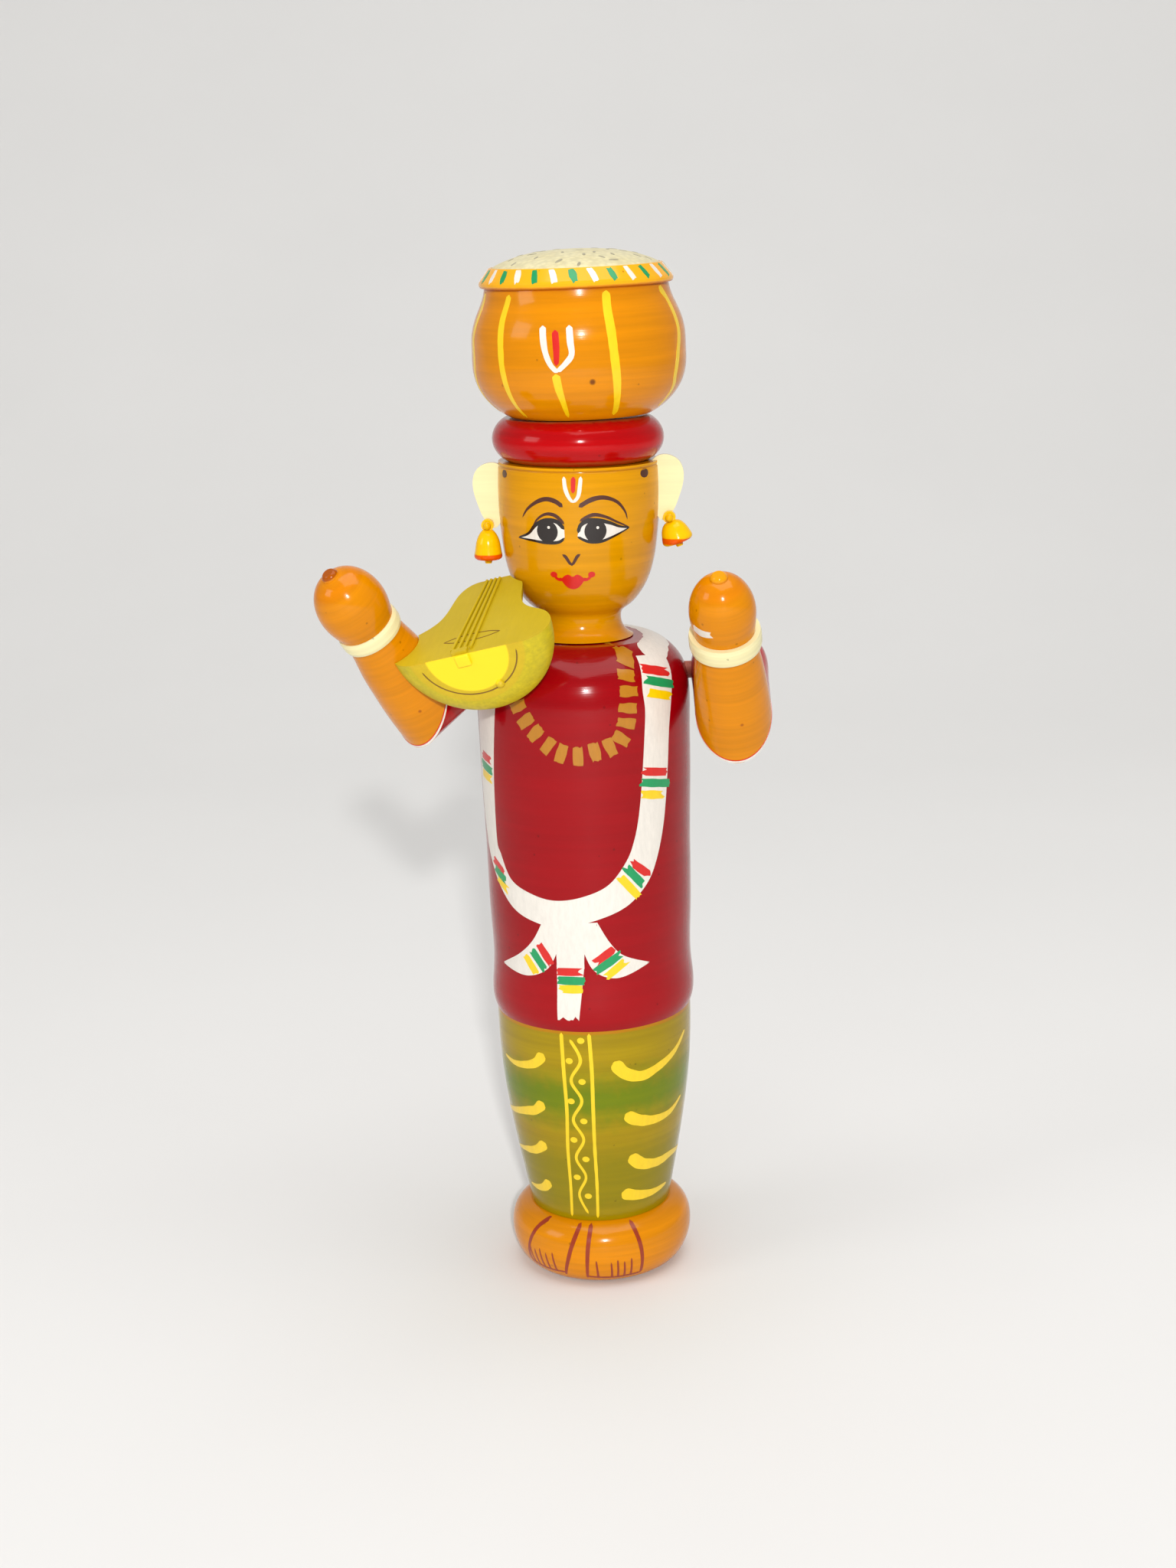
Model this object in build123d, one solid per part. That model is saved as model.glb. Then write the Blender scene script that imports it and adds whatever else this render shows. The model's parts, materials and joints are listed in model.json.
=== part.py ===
from build123d import *
import math
import os

os.makedirs("parts", exist_ok=True)

# A turned and lacquered wooden figure: a strolling musician with a rice pot on the head.
# Millimetres, +Z up, face towards -Y. Origin: centre of the flat underside of the base.
# "left" and "right" are as seen from the front: left is -X.

# ---- driving dimensions -------------------------------------------------
base_foot_radius = 19.8        # flat underside of the base
base_radius = 27.5             # widest ring of the base
base_top = 20.0                # joint between the base and the skirt
waist_level = 83.4             # joint between the skirt and the torso
waist_radius = 29.1            # skirt at the waist
hem_radius = 29.6              # torso at the waist, a little prouder than the skirt
chest_radius = 31.1            # widest ring of the torso
torso_top = 195.4              # flat ring that the neck stands on
neck_radius = 11.8
head_radius = 23.1
head_height = 50.6             # from the neck's foot to the crown
ring_radius = 24.5             # cushion between the head and the pot
ring_height = 12.7
pot_radius = 30.2
pot_height = 41.3              # from the pot's foot to the inner edge of its rim
rim_radius = 27.3
rice_radius = 23.6
rice_rise = 4.6                # crown of the rice above its edge

head_lean = 1.1                # degrees to the right, in the neck joint
pot_lean = -0.4                # degrees, the pot stands a little to the left again
pot_offset = 1.1               # the crown dowel sits a little to the right of the head
head_yaw = -4.0                # the face looks slightly to the left

turning_gap = 0.3              # between faces that turn past each other
running_fit = 0.05             # radial clearance of a peg that turns
glue_fit = 0.02                # radial clearance of a glued peg
seat_gap = 0.04                # between the torso and what is glued against it

dowel_radius = 5.0             # in the base and the waist
neck_dowel_radius = 4.0
crown_dowel_radius = 4.0
arm_peg_radius = 2.5
pin_radius = 0.7

forearm_radius = 10.9          # at the elbow
wrist_radius = 8.2
hand_radius = {-1: 9.9, 1: 9.3}
upper_arm_radius = 11.3        # at the shoulder
gourd_radius = 23.9            # half-gourd body of the instrument


base_dowel_ends = (8.2, 33.8)
waist_dowel_ends = (70.2, 98.8)
neck_dowel_ends = (-17.8, 15.6)    # from the neck's foot
blind_gap = 0.2                # a dowel's hole is this much deeper than the dowel

groove_radius = 0.55           # turned line under the cushion
groove_drop = 1.0              # below the crown of the head

ear_thickness = 2.0
ear_y = -2.6                   # the ears stand a little in front of the axis
ear_lift = {-1: 0.0, 1: 2.0}   # the right ear sits higher
earring_hang = 32.6            # height of the earring's pin above the neck's foot
pin_reach = 2.9                # the pin is this far outside the head
earring_tilt = {-1: 0.0, 1: 20.0}
earring_mouth = {-1: 4.0, 1: 4.4}
earring_drop = {-1: 9.8, 1: 7.6}


# ---- helpers ------------------------------------------------------------
def turned(outline):
    """Solid of revolution about Z. The outline is (radius, height) from the lower to the upper
    end; it is one smooth curve and is closed to the axis with flat ends."""
    lower, upper = outline[0], outline[-1]
    edges = [Spline(*outline), Line((0, upper[1]), (0, lower[1])), Line((0, lower[1]), lower)]
    if upper[0] > 0:
        edges.append(Line(upper, (0, upper[1])))
    return revolve(Plane.XZ * make_face(Curve() + edges), Axis.Z)


def cylinder(radius, low, high):
    """Upright cylinder on the Z axis between two heights."""
    return Pos(0, 0, (low + high) / 2) * Cylinder(radius, high - low)


def rod(start, end, radius):
    """Round rod between two points."""
    start, end = Vector(*start), Vector(*end)
    along = end - start
    return Plane(origin=start, z_dir=along) * cylinder(radius, 0, along.length)


def point_at(origin, direction, distance):
    """Point at a distance from an origin along a unit direction."""
    return tuple(o + d * distance for o, d in zip(origin, direction))


def unit(vector):
    """Vector of length one."""
    length = math.sqrt(sum(c * c for c in vector))
    return tuple(c / length for c in vector)


# ---- frames of the leaning pieces --------------------------------------
neck_foot = torso_top + turning_gap
head_frame = Location((0, 0, neck_foot), (0, head_lean, 0))
ring_foot = head_height
pot_foot = ring_foot + ring_height + turning_gap
pot_frame = head_frame * Location((pot_offset, 0, pot_foot), (0, pot_lean - head_lean, 0))
face_frame = head_frame * Location((0, 0, 0), (0, 0, head_yaw))


# ---- lower figure -------------------------------------------------------
def base_disc():
    """Flared rounded foot, with a blind hole for the dowel of the skirt."""
    outline = [(base_foot_radius, 0), (24.3, 2.4), (26.6, 6.4), (base_radius, 12.2),
               (26.3, 16.6), (23.3, 19.4), (21.8, base_top)]
    return turned(outline) - cylinder(dowel_radius + glue_fit, base_dowel_ends[0] - blind_gap, base_top + 1)


def skirt():
    """Barrel of the lower body, widening from the base to the waist."""
    outline = [(21.3, base_top), (22.6, 27), (24.3, 36), (26.6, 49.5), (28.0, 60),
               (28.8, 70), (waist_radius, waist_level)]
    holes = cylinder(dowel_radius + glue_fit, base_top - 1, base_dowel_ends[1] + blind_gap)
    holes += cylinder(dowel_radius + glue_fit, waist_dowel_ends[0] - blind_gap, waist_level + 1)
    return turned(outline) - holes


shoulder_outline = [(30.9, 182), (29.4, 187.4), (26.2, 191.6), (21.7, 194.6), (15.5, torso_top)]


def torso():
    """Long barrel with a domed shoulder, drilled for the neck, the waist and both arms."""
    barrel = [(hem_radius - 0.5, waist_level), (hem_radius, waist_level + 1.2), (29.75, 96), (29.95, 112),
              (30.3, 135), (30.85, 156), (chest_radius, 172)]
    solid = turned(barrel + shoulder_outline)
    solid -= cylinder(dowel_radius + glue_fit, waist_level - 1, waist_dowel_ends[1] + blind_gap)
    solid -= head_frame * Pos(0, 0, 10 - turning_gap) * Box(50, 50, 20)
    solid -= head_frame * cylinder(neck_dowel_radius + glue_fit, neck_dowel_ends[0] - blind_gap, 2)
    solid -= shoulder_peg(1, arm_peg_radius + running_fit)
    solid -= shoulder_peg(-1, arm_peg_radius + glue_fit)
    return solid - instrument_peg(arm_peg_radius - 0.5 + glue_fit)


# ---- head and pot -------------------------------------------------------
head_outline = [(15.2, 0), (13.0, 1.6), (neck_radius, 4.0), (12.0, 7.0), (14.4, 9.1), (17.0, 11.8),
                (19.3, 15.6), (21.0, 20.4), (22.4, 29), (head_radius, 38), (22.9, head_height)]


def head():
    """Neck and head in one turned piece, with a groove under the cushion and slots for the ears."""
    solid = turned(head_outline)
    groove = Plane.XZ * (Pos(head_radius + 0.2, head_height - groove_drop) * Circle(groove_radius))
    solid -= revolve(groove, Axis.Z)
    solid -= cylinder(neck_dowel_radius + running_fit, -1, neck_dowel_ends[1] + 0.4)
    solid -= head_frame.inverse() * crown_dowel(crown_dowel_radius + glue_fit)
    for side in (-1, 1):
        solid -= Rot(0, 0, head_yaw) * ear_blank(side)
    return head_frame * solid.solids().sort_by(SortBy.VOLUME)[-1]


def ear_outline(side):
    """Flat outline of one ear in the frontal plane, straight along the head, full at the top."""
    inner = head_radius - 2.4
    outer = head_radius + 7.0
    points = [(inner, 47.6), (head_radius + 1.0, 50.2), (outer - 1.3, 48.4), (outer, 43.6),
              (outer - 1.2, 38.6), (head_radius + 3.4, 33.4), (head_radius + 1.4, 31.6), (inner + 1.6, 33.4)]
    points = [(side * x, z) for x, z in points]
    edge = Spline(*points)
    return make_face(Curve() + [edge, Line(points[-1], points[0])])


def ear_blank(side):
    """Ear plate before drilling, in the frame of the face."""
    plate = extrude(Plane.XZ * ear_outline(side), amount=ear_thickness / 2, both=True)
    return Pos(0, ear_y, ear_lift[side]) * plate


def ear(side):
    """Thin ear plate, let into the side of the head and drilled for the earring's pin."""
    plate = ear_blank(side) - earring_pin(side, pin_radius + glue_fit)
    return face_frame * plate


def earring_pin(side, radius):
    """Small pin through the lower tip of the ear, in the frame of the face."""
    x = side * (head_radius + pin_reach)
    height = earring_hang + ear_lift[side]
    return rod((x, ear_y - 4.1, height), (x, ear_y + 0.6, height), radius)


def earring_pin_piece(side):
    """The pin with its domed head."""
    x = side * (head_radius + pin_reach)
    button = Pos(x, ear_y - 4.1, earring_hang + ear_lift[side]) * Sphere(1.15)
    return face_frame * (earring_pin(side, pin_radius) + button)


def earring(side, tilt):
    """Bell on a flat tab that hangs from the pin; the tilt swings its mouth outwards."""
    mouth, drop = earring_mouth[side], earring_drop[side]
    bell = [(mouth - 0.6, -drop), (mouth, -drop + 0.7), (mouth * 0.97, -drop + 2.0),
            (mouth * 0.86, -drop * 0.52), (mouth * 0.64, -drop * 0.28), (1.2, -1.2)]
    clapper = [(0.9, -drop - 1.2), (1.1, -drop - 0.6), (1.2, -drop + 0.1)]
    tab = Rot(90, 0, 0) * Cylinder(1.8, 1.6)
    solid = turned(bell) + turned(clapper) + tab + Pos(0, 0, -1.0) * Box(2.2, 1.6, 2.0)
    solid -= Rot(90, 0, 0) * Cylinder(pin_radius + running_fit, 4)
    front = ear_y - ear_thickness / 2 - turning_gap - 0.8
    hook = (side * (head_radius + pin_reach), front, earring_hang + ear_lift[side])
    hang = Location(hook, (0, -side * tilt, 0))
    return face_frame * hang * solid


def turban_ring():
    """Round cushion between the head and the pot, bored for the crown dowel."""
    half = ring_height / 2
    outline = [(ring_radius - 5.2, 0), (ring_radius - 1.5, half * 0.36), (ring_radius, half),
               (ring_radius - 1.5, half * 1.64), (ring_radius - 5.2, ring_height)]
    solid = head_frame * Pos(0, 0, ring_foot) * turned(outline)
    solid -= pot_frame * Pos(0, 0, 10 - turning_gap) * Box(80, 80, 20)
    return solid - crown_dowel(crown_dowel_radius + glue_fit)


def pot():
    """Squat round pot with a flat sloping rim, recessed for the rice and bored for the crown dowel."""
    body = [(20.2, 0), (25.3, 3.6), (28.6, 8.0), (30.1, 13.0), (pot_radius, 18.0), (30.0, 23.0),
            (28.6, 28.0), (26.7, 32.4), (25.9, 35.6)]
    solid = turned(body)
    lip = [(25.9, 35.6), (rim_radius - 0.3, 36.0), (rim_radius, 36.6), (rim_radius, 37.2),
           (rim_radius - 0.3, 37.9), (24.3, pot_height), (0, pot_height), (0, 35.6)]
    rim = revolve(Plane.XZ * make_face(Polyline(*lip, close=True)), Axis.Z)
    solid += rim
    solid -= cylinder(rice_radius + glue_fit, pot_height - 2.4, pot_height + 1)
    solid -= pot_frame.inverse() * crown_dowel(crown_dowel_radius + running_fit)
    return pot_frame * solid


def rice_mound():
    """Low heap of rice that closes the pot."""
    floor = pot_height - 2.4
    edge = pot_height - 0.2
    top = edge + rice_rise
    shares = [(0, 1), (0.3, 0.94), (0.58, 0.77), (0.84, 0.4), (1, 0)]
    slope = [(rice_radius * across, edge + rice_rise * up) for across, up in shares]
    crown = Spline(*slope, tangents=[(1, 0), (1, -0.8)])
    edges = [crown, Line((rice_radius, edge), (rice_radius, floor)), Line((rice_radius, floor), (0, floor)),
             Line((0, floor), (0, top))]
    return pot_frame * revolve(Plane.XZ * make_face(Curve() + edges), Axis.Z)


def crown_dowel(radius):
    """Dowel from the head through the cushion into the pot, on the pot's own leaning axis."""
    return pot_frame * cylinder(radius, -ring_height - 9, 10)


# ---- arms ---------------------------------------------------------------
shoulder = {-1: (-31.0, 2.0, 192.0), 1: (42.9, 0.0, 184.0)}
elbow = {-1: (-46.3, -13.5, 181.0), 1: (42.6, -20.0, 175.4)}
forearm_way = {-1: unit((-0.43, -0.43, 0.79)), 1: unit((-0.1, -0.469, 0.877))}
forearm_length = {-1: 51.0, 1: 49.0}
peg_ends = {
    -1: ((-16.0, 3.0, 182.0), (-34.0, 0.0, 190.5)),
    1: ((19.0, 0.0, 184.0), (45.0, 0.0, 184.0)),
}


def mitre(side):
    """Cutting plane through the elbow that halves the angle between the two arm pieces."""
    to_shoulder = unit(tuple(s - e for s, e in zip(shoulder[side], elbow[side])))
    across = tuple(f - s for f, s in zip(forearm_way[side], to_shoulder))
    return Plane(origin=elbow[side], z_dir=unit(across))


def forearm_blank(side, extra=0.0):
    """Turned club: thick at the elbow, slim at the wrist, with an egg-shaped hand and a small nub."""
    length, hand = forearm_length[side], hand_radius[side]
    shape = [(forearm_radius, -24), (forearm_radius, -6), (forearm_radius - 0.1, 3), (10.3, 11), (9.5, 19),
             (wrist_radius + 0.3, length - 20), (hand - 0.3, length - 15.5), (hand, length - 11.5),
             (hand * 0.87, length - 6.2), (hand * 0.58, length - 2.4), (2.2, length - 0.8)]
    nub = [(2.5, length - 1.2), (2.2, length + 0.1), (1.6, length + 0.7)]
    club = turned([(r + extra, z) for r, z in shape]) + turned([(r + extra, z) for r, z in nub])
    return Plane(origin=elbow[side], z_dir=forearm_way[side]) * club


def forearm(side):
    """Forearm and hand, cut to the elbow's mitre and drilled for its dowel."""
    solid = split(forearm_blank(side), bisect_by=mitre(side), keep=Keep.TOP)
    return solid - elbow_dowel(side, arm_peg_radius + glue_fit) - bangle(side, glue_fit)


def upper_arm_blank(side, extra=0.0):
    """Short turned stick with a domed shoulder end."""
    run = math.dist(shoulder[side], elbow[side])
    shape = [(forearm_radius, -24), (forearm_radius, 0), (forearm_radius + 0.1, run * 0.4),
             (upper_arm_radius - 0.1, run * 0.8), (upper_arm_radius, run + 1), (9.9, run + 6.0),
             (6.6, run + 9.2), (2.5, run + 10.8)]
    to_shoulder = tuple(s - e for s, e in zip(shoulder[side], elbow[side]))
    return Plane(origin=elbow[side], z_dir=to_shoulder) * turned([(r + extra, z) for r, z in shape])


def upper_arm(side):
    """Short turned upper arm with a domed shoulder, cut to the elbow's mitre."""
    solid = split(upper_arm_blank(side), bisect_by=mitre(side), keep=Keep.BOTTOM)
    solid -= elbow_dowel(side, arm_peg_radius + glue_fit)
    if side < 0:
        solid -= torso_seat()
    return solid - shoulder_peg(side, arm_peg_radius + glue_fit)


def bangle(side, extra=0.0):
    """Raised ring at the wrist; the right one stands prouder than the left."""
    length = forearm_length[side]
    proud, width = {-1: (0.7, 4.4), 1: (1.7, 5.2)}[side]
    middle = length - 21.5
    outer = wrist_radius + 0.3 + proud
    inner = wrist_radius - 0.9 - extra
    half = width / 2 + extra
    band = [(inner, middle - half), (outer - 0.3, middle - half), (outer, middle - half * 0.5),
            (outer, middle + half * 0.5), (outer - 0.3, middle + half), (inner, middle + half)]
    solid = revolve(Plane.XZ * make_face(Polyline(*band, close=True)), Axis.Z)
    return Plane(origin=elbow[side], z_dir=forearm_way[side]) * solid


def elbow_dowel(side, radius):
    """Short dowel across the mitre, square to the cut."""
    across = mitre(side).z_dir
    middle = Vector(*elbow[side])
    return rod(tuple(middle - across * 6.5), tuple(middle + across * 6.5), radius)


def shoulder_peg(side, radius):
    """Dowel that holds the arm to the torso; the right arm turns on it."""
    return rod(*peg_ends[side], radius)


# ---- instrument ---------------------------------------------------------
string_way = unit((0.19, 0.91, 0.37))
board_side = unit((0.94, -0.245, 0.25))
board_front = (-31.9, -40.6, 199.0)
board_frame = Plane(origin=board_front, x_dir=board_side, z_dir=string_way)
board_length = 39.2
board_sink = 1.6               # the board lies this far below the axis of the turned pear


def gourd_solid():
    """Less than half of a turned pear: a flat sounding board above and the round back below."""
    outline = [(15.6, 0), (19.8, 1.2), (22.6, 3.6), (gourd_radius, 7.2), (23.0, 11.2), (20.4, 14.8),
               (16.6, 17.6), (13.4, 20.8), (11.6, 25.5), (10.8, 30.5), (9.7, 35), (7.8, 37.8),
               (4.6, board_length)]
    below_board = Pos(0, 40, 20) * Box(80, 80, 80)
    return board_frame * (Pos(0, -board_sink, 0) * turned(outline) & below_board)


def instrument_body():
    """Gourd and short neck, seated against the torso and relieved for the left arm and the head."""
    solid = gourd_solid() - torso_seat()
    solid -= forearm_blank(-1, 0.3)
    solid -= upper_arm_blank(-1, 0.3)
    solid -= head_frame * turned([(radius + 0.6, height) for radius, height in head_outline])
    solid -= instrument_peg(arm_peg_radius - 0.5 + glue_fit)
    return solid.solids().sort_by(SortBy.VOLUME)[-1]


def torso_seat():
    """Shoulder of the torso, enlarged a little, that the gourd and the left arm are cut to fit."""
    chest = [(chest_radius, 150), (chest_radius, 172)]
    return turned([(radius + seat_gap, height + seat_gap / 2) for radius, height in chest + shoulder_outline])


def instrument_peg(radius):
    """Dowel from the chest into the gourd."""
    return rod((-14.0, -14.0, 182.0), (-26.5, -26.5, 193.0), radius)


def bridge():
    """Small block under the strings near the front of the board."""
    return board_frame * Pos(-1.8, -0.5, 1.3) * Box(4.6, 1.0, 1.8)


def strings():
    """Four carved strings along the board, from the bridge to the neck's end."""
    group = []
    for number in range(4):
        spread = (number - 1.5) * 1.9
        start = (spread - 1.6, -0.45, 2.3)
        end = (spread * 0.7 + 0.3, -0.45, board_length - 1.0)
        group.append(board_frame * rod(start, end, 0.45))
    return group


# ---- pieces -------------------------------------------------------------
sides = {"left": -1, "right": 1}
pieces = {
    "base_disc": base_disc(),
    "base_dowel": cylinder(dowel_radius, *base_dowel_ends),
    "skirt": skirt(),
    "waist_dowel": cylinder(dowel_radius, *waist_dowel_ends),
    "torso": torso(),
    "neck_dowel": head_frame * cylinder(neck_dowel_radius, *neck_dowel_ends),
    "head": head(),
    "turban_ring": turban_ring(),
    "crown_dowel": crown_dowel(crown_dowel_radius),
    "pot": pot(),
    "rice_mound": rice_mound(),
    "tambura_body": instrument_body(),
    "tambura_bridge": bridge(),
    "tambura_strings": Compound(children=strings()),
    "tambura_peg": instrument_peg(arm_peg_radius - 0.5),
}
for name, side in sides.items():
    pieces[f"ear_{name}"] = ear(side)
    pieces[f"earring_pin_{name}"] = earring_pin_piece(side)
    pieces[f"earring_{name}"] = earring(side, earring_tilt[side])
    pieces[f"upper_arm_{name}"] = upper_arm(side)
    pieces[f"forearm_{name}"] = forearm(side)
    pieces[f"bangle_{name}"] = bangle(side)
    pieces[f"elbow_dowel_{name}"] = elbow_dowel(side, arm_peg_radius)
    pieces[f"shoulder_peg_{name}"] = shoulder_peg(side, arm_peg_radius)

for name, piece in pieces.items():
    export_step(piece, f"parts/{name}.step")
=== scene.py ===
import json
import math

import bpy
from bpy.props import FloatProperty, FloatVectorProperty, IntProperty, PointerProperty
from mathutils import Matrix, Vector, noise
from mathutils.bvhtree import BVHTree


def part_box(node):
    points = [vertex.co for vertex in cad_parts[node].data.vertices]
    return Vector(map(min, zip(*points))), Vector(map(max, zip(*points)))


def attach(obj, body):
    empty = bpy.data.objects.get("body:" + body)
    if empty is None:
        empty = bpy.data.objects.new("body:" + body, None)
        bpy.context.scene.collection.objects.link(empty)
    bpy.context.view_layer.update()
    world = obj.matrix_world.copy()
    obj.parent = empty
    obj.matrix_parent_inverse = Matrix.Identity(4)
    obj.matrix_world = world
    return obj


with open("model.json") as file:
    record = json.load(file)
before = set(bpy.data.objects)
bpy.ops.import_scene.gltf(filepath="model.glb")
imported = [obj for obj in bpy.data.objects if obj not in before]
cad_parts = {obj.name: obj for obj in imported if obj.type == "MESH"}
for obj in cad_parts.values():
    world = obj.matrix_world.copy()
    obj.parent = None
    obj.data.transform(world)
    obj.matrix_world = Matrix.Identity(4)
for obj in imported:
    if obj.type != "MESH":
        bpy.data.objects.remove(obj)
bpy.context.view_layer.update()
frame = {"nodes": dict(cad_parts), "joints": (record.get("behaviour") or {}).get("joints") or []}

bl_info = {
    "name": "Turned Musician Figure",
    "version": (1, 0, 0),
    "blender": (4, 5, 0),
    "location": "View3D > Sidebar > Figure",
    "description": "Lacquer, brush work and stage for a turned wooden musician with a rice pot",
    "category": "Object",
}

MM = 0.001
JOINTS = {joint["name"]: joint for joint in frame["joints"]}


# ---- places ---------------------------------------------------------------
def turning_frame(joint_name):
    """Frame whose Z is a joint's axis and whose origin is on it."""
    joint = JOINTS[joint_name]
    up = Vector(joint["axis"]).normalized()
    right = Vector((0, 1, 0)).cross(up).normalized()
    turn = Matrix((right, up.cross(right), up)).transposed().to_4x4()
    return Matrix.Translation(Vector(joint["pos_m"])) @ turn


def frame_along(origin, along, side=(1, 0, 0)):
    """Frame with Z along a direction and X as near as can be to another."""
    up = Vector(along).normalized()
    right = (Vector(side) - up * up.dot(Vector(side))).normalized()
    turn = Matrix((right, up.cross(right), up)).transposed().to_4x4()
    return Matrix.Translation(Vector(origin)) @ turn


FIGURE = Matrix.Identity(4)
HEAD = turning_frame("head_turn")
POT = turning_frame("pot_turn")
ELBOW = {"left": Vector((-46.3, -13.5, 181.0)) * MM, "right": Vector((42.6, -20.0, 175.4)) * MM}
SHOULDER = {"left": Vector((-31.0, 2.0, 192.0)) * MM, "right": Vector((42.9, 0.0, 184.0)) * MM}
FOREARM_WAY = {"left": Vector((-0.43, -0.43, 0.79)).normalized(), "right": Vector((-0.1, -0.469, 0.877)).normalized()}
FOREARM_LENGTH = {"left": 51.0 * MM, "right": 49.0 * MM}
ARM = {side: frame_along(ELBOW[side], FOREARM_WAY[side]) for side in ELBOW}
BOARD = frame_along(Vector((-31.9, -40.6, 199.0)) * MM, (0.19, 0.91, 0.37), (0.94, -0.245, 0.25))
SIDES = {"left": -1, "right": 1}


# ---- settings -------------------------------------------------------------
def srgb(red, green, blue):
    """Linear colour of a screen colour given in 0 to 255."""
    def channel(value):
        value /= 255
        return value / 12.92 if value <= 0.04045 else ((value + 0.055) / 1.055) ** 2.4
    return channel(red), channel(green), channel(blue)


def colour_setting(label, description, default):
    """Colour property of the settings panel."""
    return FloatVectorProperty(name=label, description=description, subtype="COLOR", size=3, min=0, max=1,
                               default=default)


def length_setting(label, description, millimetres):
    """Length property of the settings panel, kept in metres."""
    return FloatProperty(name=label, description=description, unit="LENGTH", min=0, precision=5,
                         default=millimetres * MM)


class FigureColours(bpy.types.PropertyGroup):
    """Colours of the lacquers and brush paints."""
    orange: colour_setting("Orange", "Pot, forearms and base", srgb(212, 130, 0))
    golden: colour_setting("Golden", "Head and neck", srgb(214, 146, 0))
    crimson: colour_setting("Crimson", "Torso", srgb(150, 0, 10))
    red: colour_setting("Red", "Cushion and upper arms", srgb(180, 0, 6))
    olive: colour_setting("Olive", "Skirt", srgb(158, 132, 0))
    green_tint: colour_setting("Green tint", "Soft green patches on the skirt", srgb(78, 118, 0))
    cream: colour_setting("Cream", "Ears and bangles", srgb(238, 228, 176))
    matte_yellow: colour_setting("Matte yellow", "Instrument", srgb(200, 180, 0))
    rice: colour_setting("Rice", "Heap in the pot", srgb(218, 208, 164))
    white: colour_setting("White paint", "Garland and marks", srgb(226, 220, 210))
    green: colour_setting("Green paint", "Brush stripes and rim dashes", srgb(0, 146, 84))
    scarlet: colour_setting("Scarlet paint", "Brush stripes and mark centres", srgb(206, 14, 2))
    yellow: colour_setting("Yellow paint", "Stripes of the pot and the skirt", srgb(238, 200, 0))
    brown: colour_setting("Brown paint", "Brows, lids and nose", srgb(74, 30, 8))
    ochre: colour_setting("Ochre paint", "Necklace", srgb(178, 116, 4))


class FigurePaint(bpy.types.PropertyGroup):
    """Sizes of the brush work."""
    film: length_setting("Film", "How proud one coat of paint stands", 0.055)
    stripe: length_setting("Pot stripe", "Width of the pot's stripes", 2.1)
    line: length_setting("Fine line", "Width of the fine face lines", 0.42)
    dashes: IntProperty(name="Rim dashes", description="Dashes round the pot's rim", default=30, min=4, max=60)
    grains: IntProperty(name="Rice grains", description="Grain marks on the rice", default=38, min=0, max=200)


class FigureStage(bpy.types.PropertyGroup):
    """Camera, floor and light."""
    distance: length_setting("Camera distance", "From the figure's axis", 659.8)
    height: length_setting("Camera height", "Above the floor", 322.8)
    pitch: FloatProperty(name="Pitch", description="How far the camera looks down", subtype="ANGLE",
                         default=math.radians(14.64))
    roll: FloatProperty(name="Roll", description="How far the camera is turned about its line of sight",
                        subtype="ANGLE", default=math.radians(2.02))
    lens: FloatProperty(name="Lens", description="Focal length for a 36 mm sensor", default=52.9, min=10)
    brightness: FloatProperty(name="Brightness", description="Strength of all the lights together", default=1.0, min=0)


def settings():
    """The scene's three groups of settings."""
    scene = bpy.context.scene
    return scene.figure_colours, scene.figure_paint, scene.figure_stage


# ---- shader groups --------------------------------------------------------
def new_group(name, inputs, outputs):
    """Empty shader node group with named sockets: (name, kind, default)."""
    group = bpy.data.node_groups.new(name, "ShaderNodeTree")
    for label, kind, default in inputs:
        socket = group.interface.new_socket(name=label, in_out="INPUT", socket_type=f"NodeSocket{kind}")
        if default is not None:
            socket.default_value = default
    for label, kind in outputs:
        group.interface.new_socket(name=label, in_out="OUTPUT", socket_type=f"NodeSocket{kind}")
    return group, group.nodes.new("NodeGroupInput"), group.nodes.new("NodeGroupOutput")


def node(tree, kind, **values):
    """Shader node with its properties or input sockets set by name."""
    made = tree.nodes.new(f"ShaderNode{kind}")
    for name, value in values.items():
        if hasattr(made, name):
            setattr(made, name, value)
        else:
            made.inputs[name.replace("_", " ")].default_value = value
    return made


def math_node(tree, operation, first, second=None, clamp=False):
    """Math node; each operand is a socket or a number."""
    made = node(tree, "Math", operation=operation, use_clamp=clamp)
    for index, operand in enumerate((first, second)):
        if operand is None:
            continue
        if isinstance(operand, (int, float)):
            made.inputs[index].default_value = operand
        else:
            tree.links.new(operand, made.inputs[index])
    return made.outputs[0]


def stretched_noise(tree, vector, scale, detail=3.0, roughness=0.55):
    """Noise of a vector that is first scaled by axis."""
    mapping = node(tree, "Mapping")
    mapping.inputs["Scale"].default_value = scale
    texture = node(tree, "TexNoise", Scale=1.0, Detail=detail, Roughness=roughness)
    tree.links.new(vector, mapping.inputs["Vector"])
    tree.links.new(mapping.outputs[0], texture.inputs["Vector"])
    return texture.outputs["Fac"]


def turned_grain_group():
    """Streaks and fine rings that a lathe leaves round Z, and a slow change of tone."""
    inputs = [("Vector", "Vector", None)]
    group, start, end = new_group("turned_grain", inputs, [("Streak", "Float"), ("Tone", "Float"), ("Rings", "Float")])
    vector = start.outputs["Vector"]
    streak = stretched_noise(group, vector, (16, 16, 520), 5.0, 0.6)
    group.links.new(streak, end.inputs["Streak"])
    group.links.new(stretched_noise(group, vector, (14, 14, 130), 3.0), end.inputs["Tone"])
    group.links.new(stretched_noise(group, vector, (25, 25, 3200), 2.0), end.inputs["Rings"])
    return group


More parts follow.
